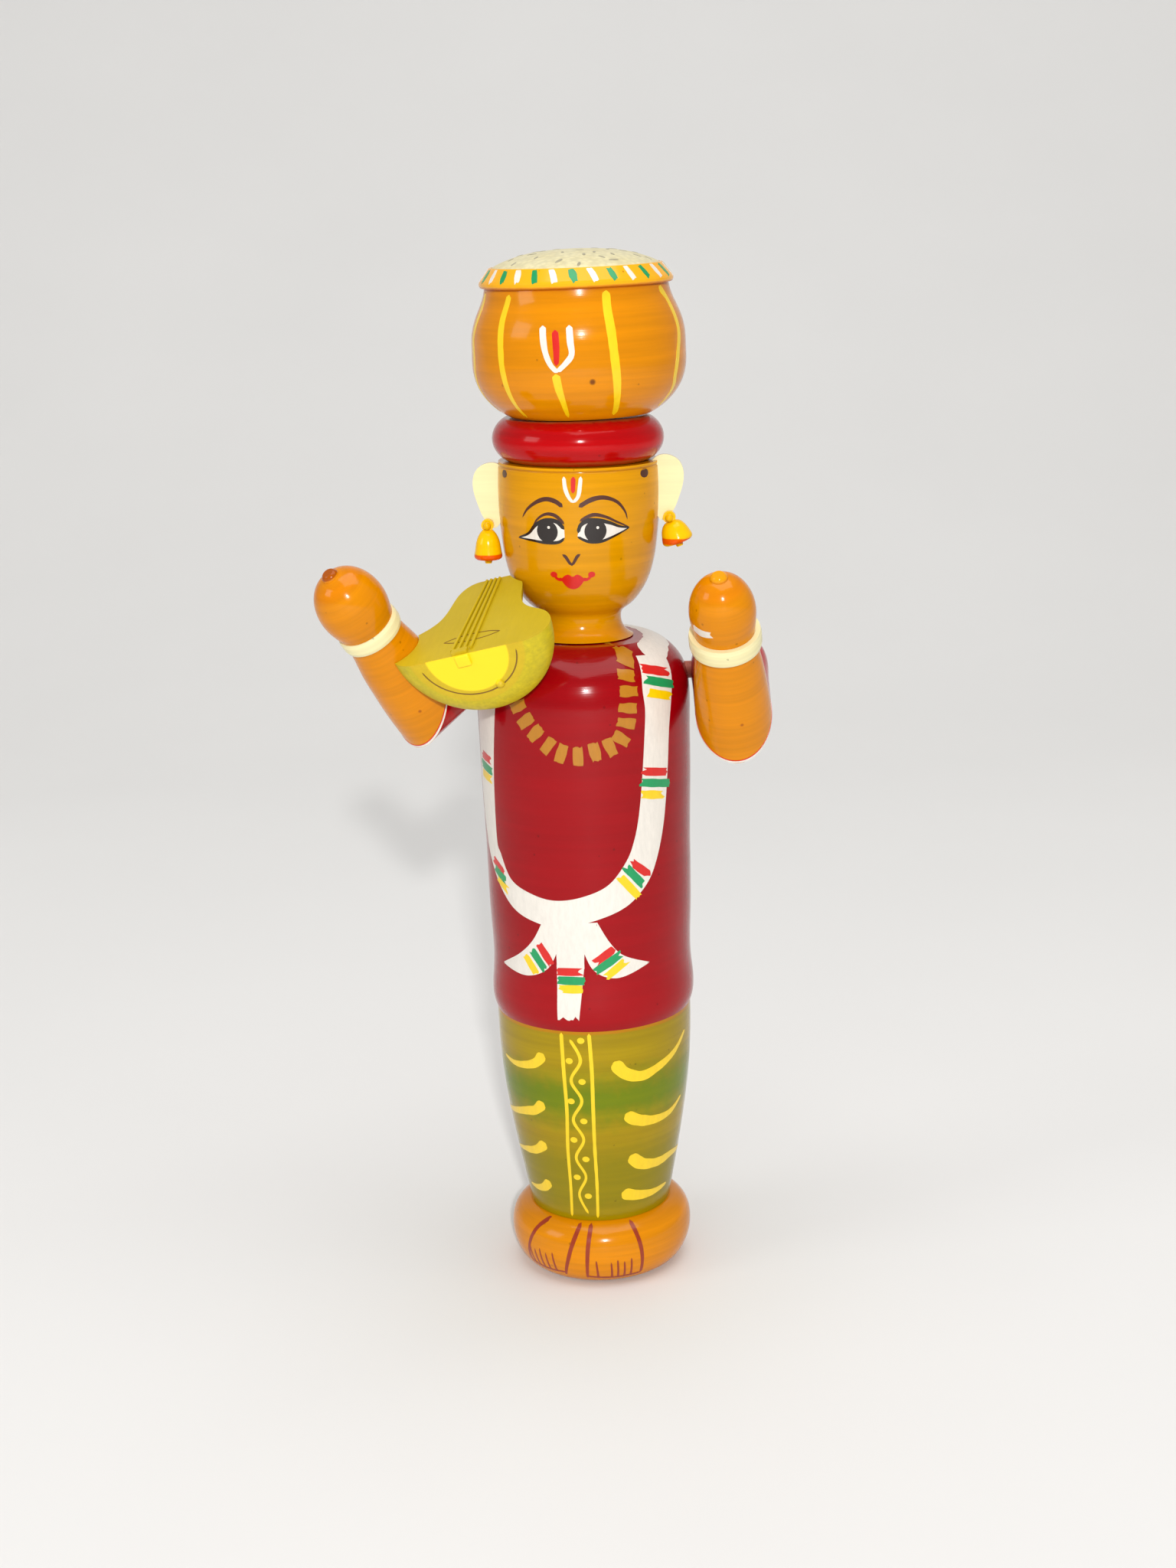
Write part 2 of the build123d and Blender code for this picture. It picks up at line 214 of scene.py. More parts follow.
def height_band_group():
    """Mask that is 1 between two heights, with a soft and uneven edge."""
    inputs = [("Vector", "Vector", None), ("Low", "Float", 0.0), ("High", "Float", 1.0),
              ("Soft", "Float", 0.0005), ("Uneven", "Float", 0.0)]
    group, start, end = new_group("height_band", inputs, [("Mask", "Float")])
    split = node(group, "SeparateXYZ")
    group.links.new(start.outputs["Vector"], split.inputs[0])
    wander = stretched_noise(group, start.outputs["Vector"], (300, 300, 300), 4.0)
    shift = math_node(group, "MULTIPLY", math_node(group, "SUBTRACT", wander, 0.5), start.outputs["Uneven"])
    height = math_node(group, "ADD", split.outputs["Z"], shift)
    rise = math_node(group, "DIVIDE", math_node(group, "SUBTRACT", height, start.outputs["Low"]),
                     start.outputs["Soft"], clamp=True)
    fall = math_node(group, "DIVIDE", math_node(group, "SUBTRACT", start.outputs["High"], height),
                     start.outputs["Soft"], clamp=True)
    group.links.new(math_node(group, "MULTIPLY", rise, fall), end.inputs["Mask"])
    return group


def spot_group():
    """Mask of one soft round spot, such as a knot in the wood."""
    inputs = [("Vector", "Vector", None), ("Centre", "Vector", None), ("Radius", "Float", 0.001),
              ("Soft", "Float", 0.0004)]
    group, start, end = new_group("spot", inputs, [("Mask", "Float")])
    away = node(group, "VectorMath", operation="DISTANCE")
    group.links.new(start.outputs["Vector"], away.inputs[0])
    group.links.new(start.outputs["Centre"], away.inputs[1])
    inside = math_node(group, "SUBTRACT", start.outputs["Radius"], away.outputs["Value"])
    group.links.new(math_node(group, "DIVIDE", inside, start.outputs["Soft"], clamp=True), end.inputs["Mask"])
    return group


def fleck_group():
    """Sparse small flecks, such as dust, pin holes and tiny chips in the lacquer."""
    inputs = [("Vector", "Vector", None), ("Scale", "Float", 900.0), ("Amount", "Float", 0.03)]
    group, start, end = new_group("flecks", inputs, [("Mask", "Float")])
    cells = node(group, "TexVoronoi", feature="F1")
    group.links.new(start.outputs["Vector"], cells.inputs["Vector"])
    group.links.new(start.outputs["Scale"], cells.inputs["Scale"])
    rare = node(group, "SeparateColor")
    group.links.new(cells.outputs["Color"], rare.inputs[0])
    chosen = math_node(group, "LESS_THAN", rare.outputs[0], start.outputs["Amount"])
    small = math_node(group, "LESS_THAN", cells.outputs["Distance"], 0.26)
    group.links.new(math_node(group, "MULTIPLY", chosen, small), end.inputs["Mask"])
    return group


GROUP_MAKERS = {"turned_grain": turned_grain_group, "height_band": height_band_group, "spot": spot_group,
                "flecks": fleck_group}


def group_node(tree, name, vector, **values):
    """One of the shared groups, fed with a vector and its own values."""
    made = tree.nodes.new("ShaderNodeGroup")
    made.node_tree = bpy.data.node_groups.get(name) or GROUP_MAKERS[name]()
    tree.links.new(vector, made.inputs["Vector"])
    for label, value in values.items():
        made.inputs[label].default_value = value
    return made


# ---- materials ------------------------------------------------------------
def seen_from(tree, place):
    """The object's coordinates seen from another frame."""
    mapping = node(tree, "Mapping", vector_type="TEXTURE")
    mapping.inputs["Location"].default_value = place.translation
    mapping.inputs["Rotation"].default_value = place.to_euler()
    tree.links.new(node(tree, "TexCoord").outputs["Object"], mapping.inputs["Vector"])
    return mapping.outputs[0]


def start_material(name, place=FIGURE):
    """Material with its node tree, its shader and the object's coordinates seen from a piece's own frame."""
    material = bpy.data.materials.new(name)
    material.use_nodes = True
    tree = material.node_tree
    return material, tree, tree.nodes["Principled BSDF"], seen_from(tree, place)


def blend_colour(tree, factor, first, second):
    """Mix of two colours; each is a socket or a colour."""
    mix = node(tree, "Mix", data_type="RGBA")
    if isinstance(factor, (int, float)):
        mix.inputs["Factor"].default_value = factor
    else:
        tree.links.new(factor, mix.inputs["Factor"])
    for label, colour in (("A", first), ("B", second)):
        socket = next(s for s in mix.inputs if s.name == label and s.type == "RGBA")
        if isinstance(colour, bpy.types.NodeSocket):
            tree.links.new(colour, socket)
        else:
            socket.default_value = (*colour, 1)
    return next(s for s in mix.outputs if s.type == "RGBA")


def laid_over(tree, ground, mask, strength, colour):
    """A colour laid over the ground where a mask is, at a strength."""
    return blend_colour(tree, math_node(tree, "MULTIPLY", mask, strength), ground, colour)


def scaled(colour, factor):
    """A colour made lighter or darker."""
    return tuple(min(1.0, channel * factor) for channel in colour)


def spread(tree, value, low, high):
    """A 0 to 1 value stretched so that low becomes 0 and high becomes 1."""
    stretch = node(tree, "MapRange", clamp=True)
    stretch.inputs["From Min"].default_value = low
    stretch.inputs["From Max"].default_value = high
    tree.links.new(value, stretch.inputs["Value"])
    return stretch.outputs[0]


def ranged(tree, value, low, high):
    """A 0 to 1 value mapped to a range."""
    stretch = node(tree, "MapRange")
    stretch.inputs["To Min"].default_value = low
    stretch.inputs["To Max"].default_value = high
    tree.links.new(value, stretch.inputs["Value"])
    return stretch.outputs[0]


def raise_surface(tree, shader, height, strength, distance, **values):
    """Bump from a height."""
    bump = node(tree, "Bump", Strength=strength, Distance=distance, **values)
    tree.links.new(height, bump.inputs["Height"])
    tree.links.new(bump.outputs[0], shader.inputs["Normal"])


def lacquer(name, colour, deep=0.72, light=1.25, place=FIGURE, gloss=0.13, bands=(), spots=(), streak=0.34):
    """Glossy turned lacquer: streaks round the axis, a slow change of tone, fine rings and flecks.
    bands are (low, high, soft, uneven, colour, strength) along the axis and spots (centre, radius, colour)."""
    material, tree, shader, vector = start_material(name, place)
    grain = group_node(tree, "turned_grain", vector)
    streaks = spread(tree, grain.outputs["Streak"], 0.36, 0.66)
    result = blend_colour(tree, streaks, scaled(colour, 1 - (1 - deep) * streak), scaled(colour, 1 + (light - 1) * streak))
    tone = spread(tree, grain.outputs["Tone"], 0.35, 0.7)
    result = laid_over(tree, result, tone, 0.3, scaled(colour, deep))
    for low, high, soft, uneven, band_colour, strength in bands:
        band = group_node(tree, "height_band", vector, Low=low * MM, High=high * MM, Soft=soft * MM,
                          Uneven=uneven * MM)
        result = laid_over(tree, result, band.outputs[0], strength, band_colour)
    for centre, radius, spot_colour in spots:
        mark = group_node(tree, "spot", vector, Centre=Vector(centre) * MM, Radius=radius * MM, Soft=0.5 * MM)
        result = laid_over(tree, result, mark.outputs[0], 0.88, spot_colour)
    flecks = group_node(tree, "flecks", vector, Scale=700.0, Amount=0.012)
    result = laid_over(tree, result, flecks.outputs[0], 0.5, scaled(colour, 0.35))
    tree.links.new(result, shader.inputs["Base Color"])
    tree.links.new(ranged(tree, tone, gloss, gloss + 0.09), shader.inputs["Roughness"])
    shader.inputs["Coat Weight"].default_value = 0.2
    shader.inputs["Coat Roughness"].default_value = 0.04
    shader.inputs["Specular IOR Level"].default_value = 0.14
    uneven = math_node(tree, "ADD", grain.outputs["Rings"], math_node(tree, "MULTIPLY", grain.outputs["Tone"], 2.5))
    raise_surface(tree, shader, uneven, 0.1, 0.25 * MM)
    return material


def brush_paint(name, colour, thin=None, gloss=0.25, cover=0.9):
    """Hand-brushed paint: bristle marks, thin places where the ground shows and a slightly raised grain."""
    material, tree, shader, vector = start_material(name)
    bristles = stretched_noise(tree, vector, (900, 900, 260), 5.0, 0.7)
    patches = stretched_noise(tree, vector, (220, 220, 220), 3.0)
    result = blend_colour(tree, spread(tree, bristles, 0.3, 0.75), scaled(colour, 0.91), scaled(colour, 1.05))
    worn = math_node(tree, "MULTIPLY", spread(tree, patches, 0.62, 0.8), 1 - cover)
    result = blend_colour(tree, worn, result, thin or scaled(colour, 0.5))
    tree.links.new(result, shader.inputs["Base Color"])
    tree.links.new(ranged(tree, bristles, gloss, gloss + 0.15), shader.inputs["Roughness"])
    shader.inputs["Coat Weight"].default_value = 0.2
    shader.inputs["Coat Roughness"].default_value = 0.08
    raise_surface(tree, shader, bristles, 0.25, 0.06 * MM)
    return material


def bare_wood(name, colour=srgb(222, 190, 140)):
    """Pale unpainted wood with its grain along Z."""
    material, tree, shader, vector = start_material(name)
    fibres = stretched_noise(tree, vector, (1400, 1400, 120), 5.0, 0.6)
    result = blend_colour(tree, spread(tree, fibres, 0.3, 0.7), scaled(colour, 0.7), scaled(colour, 1.08))
    tree.links.new(result, shader.inputs["Base Color"])
    shader.inputs["Roughness"].default_value = 0.6
    raise_surface(tree, shader, fibres, 0.3, 0.1 * MM)
    return material


def instrument_yellow(name, colour):
    """Matte yellow of the instrument with brush marks; its board top is darkened as painted shade, its front is toned
    darker as painted shade, and a pale half moon in the middle of the front is painted light.
    """
    material, tree, shader, vector = start_material(name, BOARD)
    bristles = stretched_noise(tree, vector, (700, 700, 150), 5.0, 0.7)
    patches = stretched_noise(tree, vector, (120, 120, 120), 3.0)
    result = blend_colour(tree, spread(tree, bristles, 0.3, 0.72), scaled(colour, 0.78), scaled(colour, 1.12))
    result = laid_over(tree, result, spread(tree, patches, 0.4, 0.7), 0.4, scaled(colour, 0.72))
    # The board's top is darkened: painted shade on the face turned away from the light.
    down = BOARD @ Matrix.Rotation(math.radians(-90), 4, "X")
    board = group_node(tree, "height_band", seen_from(tree, down), Low=-1.5 * MM, High=0.35 * MM, Soft=0.15 * MM,
                       Uneven=0.2 * MM)
    result = laid_over(tree, result, board.outputs[0], 0.75, srgb(190, 162, 0))
    # The front is toned darker and more orange: painted shade that stays on its sloping border.
    front = group_node(tree, "height_band", vector, Low=-1.5 * MM, High=0.3 * MM, Soft=0.15 * MM, Uneven=0.1 * MM)
    result = laid_over(tree, result, front.outputs[0], 0.6, srgb(206, 168, 0))
    # The flat middle of the front is made pale and bright: painted light where it faces the lamp.
    moon = group_node(tree, "spot", vector, Centre=Vector((0, 0, 0)), Radius=12.4 * MM, Soft=0.5 * MM)
    bright = math_node(tree, "MULTIPLY", moon.outputs[0], front.outputs[0])
    result = laid_over(tree, result, bright, 0.9, srgb(252, 218, 10))
    tree.links.new(result, shader.inputs["Base Color"])
    tree.links.new(ranged(tree, patches, 0.42, 0.6), shader.inputs["Roughness"])
    raise_surface(tree, shader, bristles, 0.3, 0.12 * MM)
    return material


def boiled_rice(name, colour):
    """Sticky pale rice: lumpy grains with soft shade between them."""
    material, tree, shader, vector = start_material(name, POT)
    cells = node(tree, "TexVoronoi", Scale=620.0)
    tree.links.new(vector, cells.inputs["Vector"])
    patches = stretched_noise(tree, vector, (160, 160, 160), 4.0)
    result = blend_colour(tree, spread(tree, cells.outputs["Distance"], 0.2, 0.75), scaled(colour, 1.06),
                          scaled(colour, 0.88))
    result = laid_over(tree, result, spread(tree, patches, 0.45, 0.75), 0.4, srgb(206, 188, 130))
    tree.links.new(result, shader.inputs["Base Color"])
    tree.links.new(ranged(tree, patches, 0.3, 0.5), shader.inputs["Roughness"])
    raise_surface(tree, shader, cells.outputs["Distance"], 0.3, 0.12 * MM, invert=True)
    return material


# ---- surfaces and brush strokes -------------------------------------------
TREES = {}


class Surface:
    """A CAD node's skin, addressed by two numbers in a body's frame.
    round: degrees from the front and height; board: across and along; front: across and down; top: across and deep."""

    def __init__(self, node_name, place, way="round"):
        if node_name not in TREES:
            mesh = frame["nodes"][node_name].data
            TREES[node_name] = BVHTree.FromPolygons([v.co for v in mesh.vertices],
                                                    [tuple(p.vertices) for p in mesh.polygons])
        self.name = node_name
        self.tree = TREES[node_name]
        self.place = place
        self.way = way
        inverse = place.inverted()
        heights = [(inverse @ vertex.co).z / MM for vertex in frame["nodes"][node_name].data.vertices]
        self.lowest, self.highest = min(heights) + 0.2, max(heights) - 0.25

    def ray(self, across, along):
        """Start and direction of the line that meets the skin at these two numbers."""
        turned = self.place.to_3x3()
        if self.way == "round":
            along = min(max(along, self.lowest), self.highest)
            angle = math.radians(across)
            out = Vector((math.sin(angle), -math.cos(angle), 0))
            return self.place @ (out * 0.09 + Vector((0, 0, along * MM))), turned @ -out
        start, way = {
            "board": (Vector((across, -25, along)), Vector((0, 1, 0))),
            "front": (Vector((across, along, -25)), Vector((0, 0, 1))),
            "top": (Vector((across, along, 90)), Vector((0, 0, -1))),
        }[self.way]
        return self.place @ (start * MM), turned @ way

    def point(self, across, along):
        """Point on the skin."""
        start, way = self.ray(across, along)
        place = self.tree.ray_cast(start, way, 0.12)[0]
        if place is None:
            raise RuntimeError(f"no skin of {self.name} at {across:.1f}, {along:.1f}")
        return place

    def normal(self, across, along):
        """Outward normal of the skin."""
        start, way = self.ray(across, along)
        found = self.tree.ray_cast(start, way, 0.12)[1]
        return -found if found.dot(way) > 0 else found

    def scale(self, across, along):
        """Millimetres for one unit of the first number."""
        if self.way != "round":
            return 1.0
        local = self.place.inverted() @ self.point(across, along)
        return math.radians(Vector((local.x, local.y)).length / MM)


def smooth_line(points, steps):
    """Evenly spaced points on a smooth curve through the given ones."""
    dense = []
    for index in range(len(points) - 1):
        before = Vector(points[max(0, index - 1)])
        first, second = Vector(points[index]), Vector(points[index + 1])
        after = Vector(points[min(len(points) - 1, index + 2)])
        for step in range(12):
            t = step / 12
            dense.append(0.5 * (2 * first + (second - before) * t + (2 * before - 5 * first + 4 * second - after) * t * t
                                + (3 * first - before - 3 * second + after) * t ** 3))
    dense.append(Vector(points[-1]))
    reach = [0.0]
    for first, second in zip(dense, dense[1:]):
        reach.append(reach[-1] + (second - first).length)
    line, index = [], 0
    for step in range(steps + 1):
        target = reach[-1] * step / steps
        while index < len(reach) - 2 and reach[index + 1] < target:
            index += 1
        share = (target - reach[index]) / max(reach[index + 1] - reach[index], 1e-9)
        line.append(dense[index].lerp(dense[index + 1], min(1.0, share)))
    return line, reach[-1]


def deselect():
    """Nothing selected, in object mode."""
    if bpy.context.mode != "OBJECT":
        bpy.ops.object.mode_set(mode="OBJECT")
    bpy.ops.object.select_all(action="DESELECT")


def apply_modifier(piece, kind, **values):
    """Add a modifier to the active piece and apply it."""
    modifier = piece.modifiers.new(kind.lower(), kind)
    for name, value in values.items():
        setattr(modifier, name, value)
    bpy.ops.object.modifier_apply(modifier=modifier.name)


def film(surface, edge_a, edge_b, coats=1.0, ragged=0.0, seed=0.0, spacing=0.8):
    """One coat of paint between two edges of equal length, as a thin closed skin on a CAD node."""
    thickness = settings()[1].film * coats
    columns = len(edge_a) - 1
    reach = surface.scale(*edge_a[columns // 2])
    width = max(math.hypot((b[0] - a[0]) * reach, b[1] - a[1]) for a, b in zip(edge_a, edge_b))
    rows = max(2, min(40, math.ceil(width / spacing)))
    deselect()
    bpy.ops.mesh.primitive_grid_add(x_subdivisions=rows, y_subdivisions=columns, size=1)
    piece = bpy.context.active_object
    for index, vertex in enumerate(piece.data.vertices):
        column, row = divmod(index, rows + 1)
        share = row / rows
        place = float(column)
        if ragged:
            pull = noise.noise((row * 0.83, seed, 3.0)) * ragged
            push = noise.noise((row * 0.83, seed, 9.0)) * ragged
            place = column * (1 - (abs(pull) + abs(push)) / columns * 2) + abs(pull) * 2
        low = min(int(place), columns - 1)
        a = edge_a[low].lerp(edge_a[low + 1], place - low)
        b = edge_b[low].lerp(edge_b[low + 1], place - low)
        vertex.co = surface.point(*a.lerp(b, share))
    apply_modifier(piece, "SOLIDIFY", thickness=thickness * 2, offset=0)
    return piece


def stroke(surface, points, widths, coats=1.0, ragged=0.0, seed=0.0, round_ends=True, wobble=0.06):
    """One brush stroke along a line; widths, in millimetres, are spaced evenly along it."""
    reach = surface.scale(*points[len(points) // 2])
    flat = [(across * reach, along) for across, along in points]
    length = smooth_line(flat, 4)[1]
    steps = max(6, min(240, math.ceil(length / 0.7)))
    line, length = smooth_line(flat, steps)
    edge_a, edge_b = [], []
    for index, point in enumerate(line):
        share = index / steps
        place = share * (len(widths) - 1)
        low = min(int(place), len(widths) - 2) if len(widths) > 1 else 0
        width = widths[low] + (widths[min(low + 1, len(widths) - 1)] - widths[low]) * (place - low)
        width *= 1 + wobble * noise.noise((share * length * 0.35, seed, 1.0)) * 2
        if round_ends:
            end = min(share, 1 - share) * length / max(width / 2, 1e-6)
            width *= max(0.12, math.sqrt(max(0.0, 1 - (1 - min(1.0, end)) ** 2)))
        along = (line[min(index + 1, steps)] - line[max(index - 1, 0)]).normalized()
        side = Vector((-along.y, along.x)) * width / 2
        for edge, place in ((edge_a, point - side), (edge_b, point + side)):
            edge.append(Vector((place.x / reach, place.y)))
    return film(surface, edge_a, edge_b, coats, ragged, seed, spacing=min(0.8, max(widths) / 3))


def between(surface, first, second, coats=1.0, ragged=0.0, seed=0.0):
    """Paint that fills the space between two smooth lines."""
    reach = surface.scale(*first[len(first) // 2])
    steps = max(6, math.ceil(max(smooth_line([(a * reach, h) for a, h in line], 4)[1] for line in (first, second)) / 0.7))
    edges = [smooth_line([(a * reach, h) for a, h in line], steps)[0] for line in (first, second)]
    edges = [[Vector((point.x / reach, point.y)) for point in edge] for edge in edges]
    return film(surface, edges[0], edges[1], coats, ragged, seed)


def dab(surface, centre, radius, coats=1.0, stretch=1.0, turn=0.0):
    """One small round or oval dab of paint."""
    reach = surface.scale(*centre)
    steps = max(8, math.ceil(radius * 7))
    slant = math.radians(turn)
    edges = ([], [])
    for index in range(steps + 1):
        angle = math.pi * index / steps
        along = -math.cos(angle) * radius * stretch
        half = max(0.04, math.sin(angle)) * radius
        for edge, across in zip(edges, (-half, half)):
            x = along * math.cos(slant) - across * math.sin(slant)
            y = along * math.sin(slant) + across * math.cos(slant)
            edge.append(Vector((centre[0] + x / reach, centre[1] + y)))
    return film(surface, edges[0], edges[1], coats, spacing=max(0.2, radius / 3))


def copy_of(piece):
    """A copy with its own mesh."""
    twin = piece.copy()
    twin.data = piece.data.copy()
    bpy.context.collection.objects.link(twin)
    return twin


def finish_piece(parts, name, body, material, angle=35.0):
    """Join parts into one named piece with outward normals, its place in its mesh, on its body."""
    deselect()
    for part in parts:
        part.select_set(True)
    bpy.context.view_layer.objects.active = parts[0]
    if len(parts) > 1:
        bpy.ops.object.join()
    bpy.ops.object.transform_apply(location=True, rotation=True, scale=True)
    bpy.ops.object.mode_set(mode="EDIT")
    bpy.ops.mesh.select_all(action="SELECT")
    bpy.ops.mesh.remove_doubles(threshold=0.000002)
    bpy.ops.mesh.normals_make_consistent(inside=False)
    bpy.ops.object.mode_set(mode="OBJECT")
    bpy.ops.object.shade_smooth_by_angle(angle=math.radians(angle))
    piece = bpy.context.active_object
    piece.name = name
    piece.data.name = name
    piece.data.materials.clear()
    piece.data.materials.append(material)
    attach(piece, body)
    return piece


def paint(name):
    """The brush paint of that colour, made once."""
    found = bpy.data.materials.get(f"paint_{name}")
    return found or brush_paint(f"paint_{name}", tuple(getattr(settings()[0], name)))


# ---- operators ------------------------------------------------------------
class FIGURE_OT_finishes(bpy.types.Operator):
    """Give every turned part of the figure its lacquer or wood finish"""

    bl_idname = "figure.finishes"
    bl_label = "Lacquers"

    def execute(self, context):
        colours = settings()[0]
        orange, golden = tuple(colours.orange), tuple(colours.golden)
        red, crimson = tuple(colours.red), tuple(colours.crimson)
        cream, olive = tuple(colours.cream), tuple(colours.olive)
        dark_edge = srgb(120, 60, 10)
        finishes = {
            "base_disc": lacquer("lacquer_base", orange, 0.7, 1.25, bands=((-1, 0.8, 0.5, 0.6, dark_edge, 0.5),)),
            # The skirt's band from 18 to 48 mm is a darker olive: painted shade on its lower part, which tapers in and
            # faces down.
            "skirt": lacquer("lacquer_skirt", olive, 0.66, 1.25, bands=(
                (50, 73, 10, 8, tuple(colours.green_tint), 0.72), (82.2, 84, 0.6, 0.6, srgb(190, 110, 0), 0.6),
                (18, 48, 9, 7, srgb(122, 116, 0), 0.6))),
            "torso": lacquer("lacquer_torso", crimson, 0.72, 1.2, streak=0.22, bands=(
                (83, 101, 16, 5, srgb(186, 8, 20), 0.5), (185, 196, 6, 4, srgb(120, 0, 6), 0.4))),
            "head": lacquer("lacquer_head", golden, 0.7, 1.2, HEAD, bands=(
                (49.3, 49.9, 0.15, 0.1, srgb(150, 84, 0), 0.55),
                (-1, 5, 3.0, 1.0, srgb(226, 140, 0), 0.5)),
                spots=((Vector((21.5, -7.5, 40.5)), 0.6, srgb(120, 60, 10)),)),
            "turban_ring": lacquer("lacquer_ring", red, 0.62, 1.25, HEAD, bands=(
                (51, 52.5, 0.7, 0.9, srgb(150, 90, 40), 0.6), (62.6, 64, 0.5, 0.8, srgb(150, 90, 40), 0.6))),
            "pot": lacquer("lacquer_pot", orange, 0.74, 1.22, POT, bands=(
                (-1, 3.0, 2.5, 1.5, srgb(246, 160, 0), 0.5), (35.2, 36.3, 0.35, 0.2, srgb(170, 80, 0), 0.7),
                (36.2, 42, 0.4, 0.3, srgb(240, 172, 24), 0.9)),
                spots=((Vector((3.3, -29.9, 11.0)), 1.1, srgb(96, 42, 4)),
                       (Vector((-22.0, 19.5, 24.0)), 0.9, srgb(110, 50, 6)))),
            "rice_mound": boiled_rice("boiled_rice", tuple(colours.rice)),
        }
        for side in SIDES:
            length = FOREARM_LENGTH[side] / MM
            nub = srgb(150, 62, 0) if side == "left" else srgb(226, 150, 10)
            # The band that ends just short of each hand's tip is a darker orange: painted shade round the end of the
            # hand.
            finishes[f"forearm_{side}"] = lacquer(f"lacquer_forearm_{side}", orange, 0.72, 1.25, ARM[side], bands=(
                (length - 5.0, length - 0.4, 3.0, 1.0, srgb(206, 96, 0), 0.45),
                (length - 0.5, length + 3, 0.3, 0.2, nub, 0.85)),
                spots=((Vector((2.0, -10.7, 4.0)), 0.7, srgb(150, 70, 8)),))
            finishes[f"bangle_{side}"] = lacquer(f"lacquer_bangle_{side}", cream, 0.84, 1.04, ARM[side], streak=0.7)
            finishes[f"upper_arm_{side}"] = lacquer(f"lacquer_upper_arm_{side}", red, 0.62, 1.3,
                                                    frame_along(SHOULDER[side], ELBOW[side] - SHOULDER[side]))
            finishes[f"ear_{side}"] = lacquer(f"lacquer_ear_{side}", cream, 0.84, 1.04, HEAD, streak=0.4)
            low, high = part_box(f"earring_{side}")
            hang = Matrix.Translation(Vector(((low.x + high.x) / 2, (low.y + high.y) / 2, low.z)))
            finishes[f"earring_{side}"] = lacquer(f"lacquer_earring_{side}", srgb(244, 190, 0), 0.78, 1.15, hang, bands=(
                (0.9, 3.0, 0.35, 0.3, srgb(222, 66, 0), 0.92),))
            finishes[f"earring_pin_{side}"] = lacquer(f"lacquer_pin_{side}", srgb(230, 176, 0), 0.8, 1.1)
            wood = bpy.data.materials.get("pale_wood") or bare_wood("pale_wood")
            finishes[f"elbow_dowel_{side}"] = wood
            finishes[f"shoulder_peg_{side}"] = (bpy.data.materials.get("stained_wood")
                                                or bare_wood("stained_wood", srgb(200, 112, 92)))
        for name in ("base_dowel", "waist_dowel", "neck_dowel", "crown_dowel", "tambura_peg"):
            finishes[name] = bpy.data.materials["pale_wood"]
        yellow = instrument_yellow("instrument_yellow", tuple(colours.matte_yellow))
        for name in ("tambura_body", "tambura_bridge", "tambura_strings"):
            finishes[name] = yellow
        for name, part in frame["nodes"].items():
            part.data.materials.clear()
            part.data.materials.append(finishes[name])
        return {"FINISHED"}


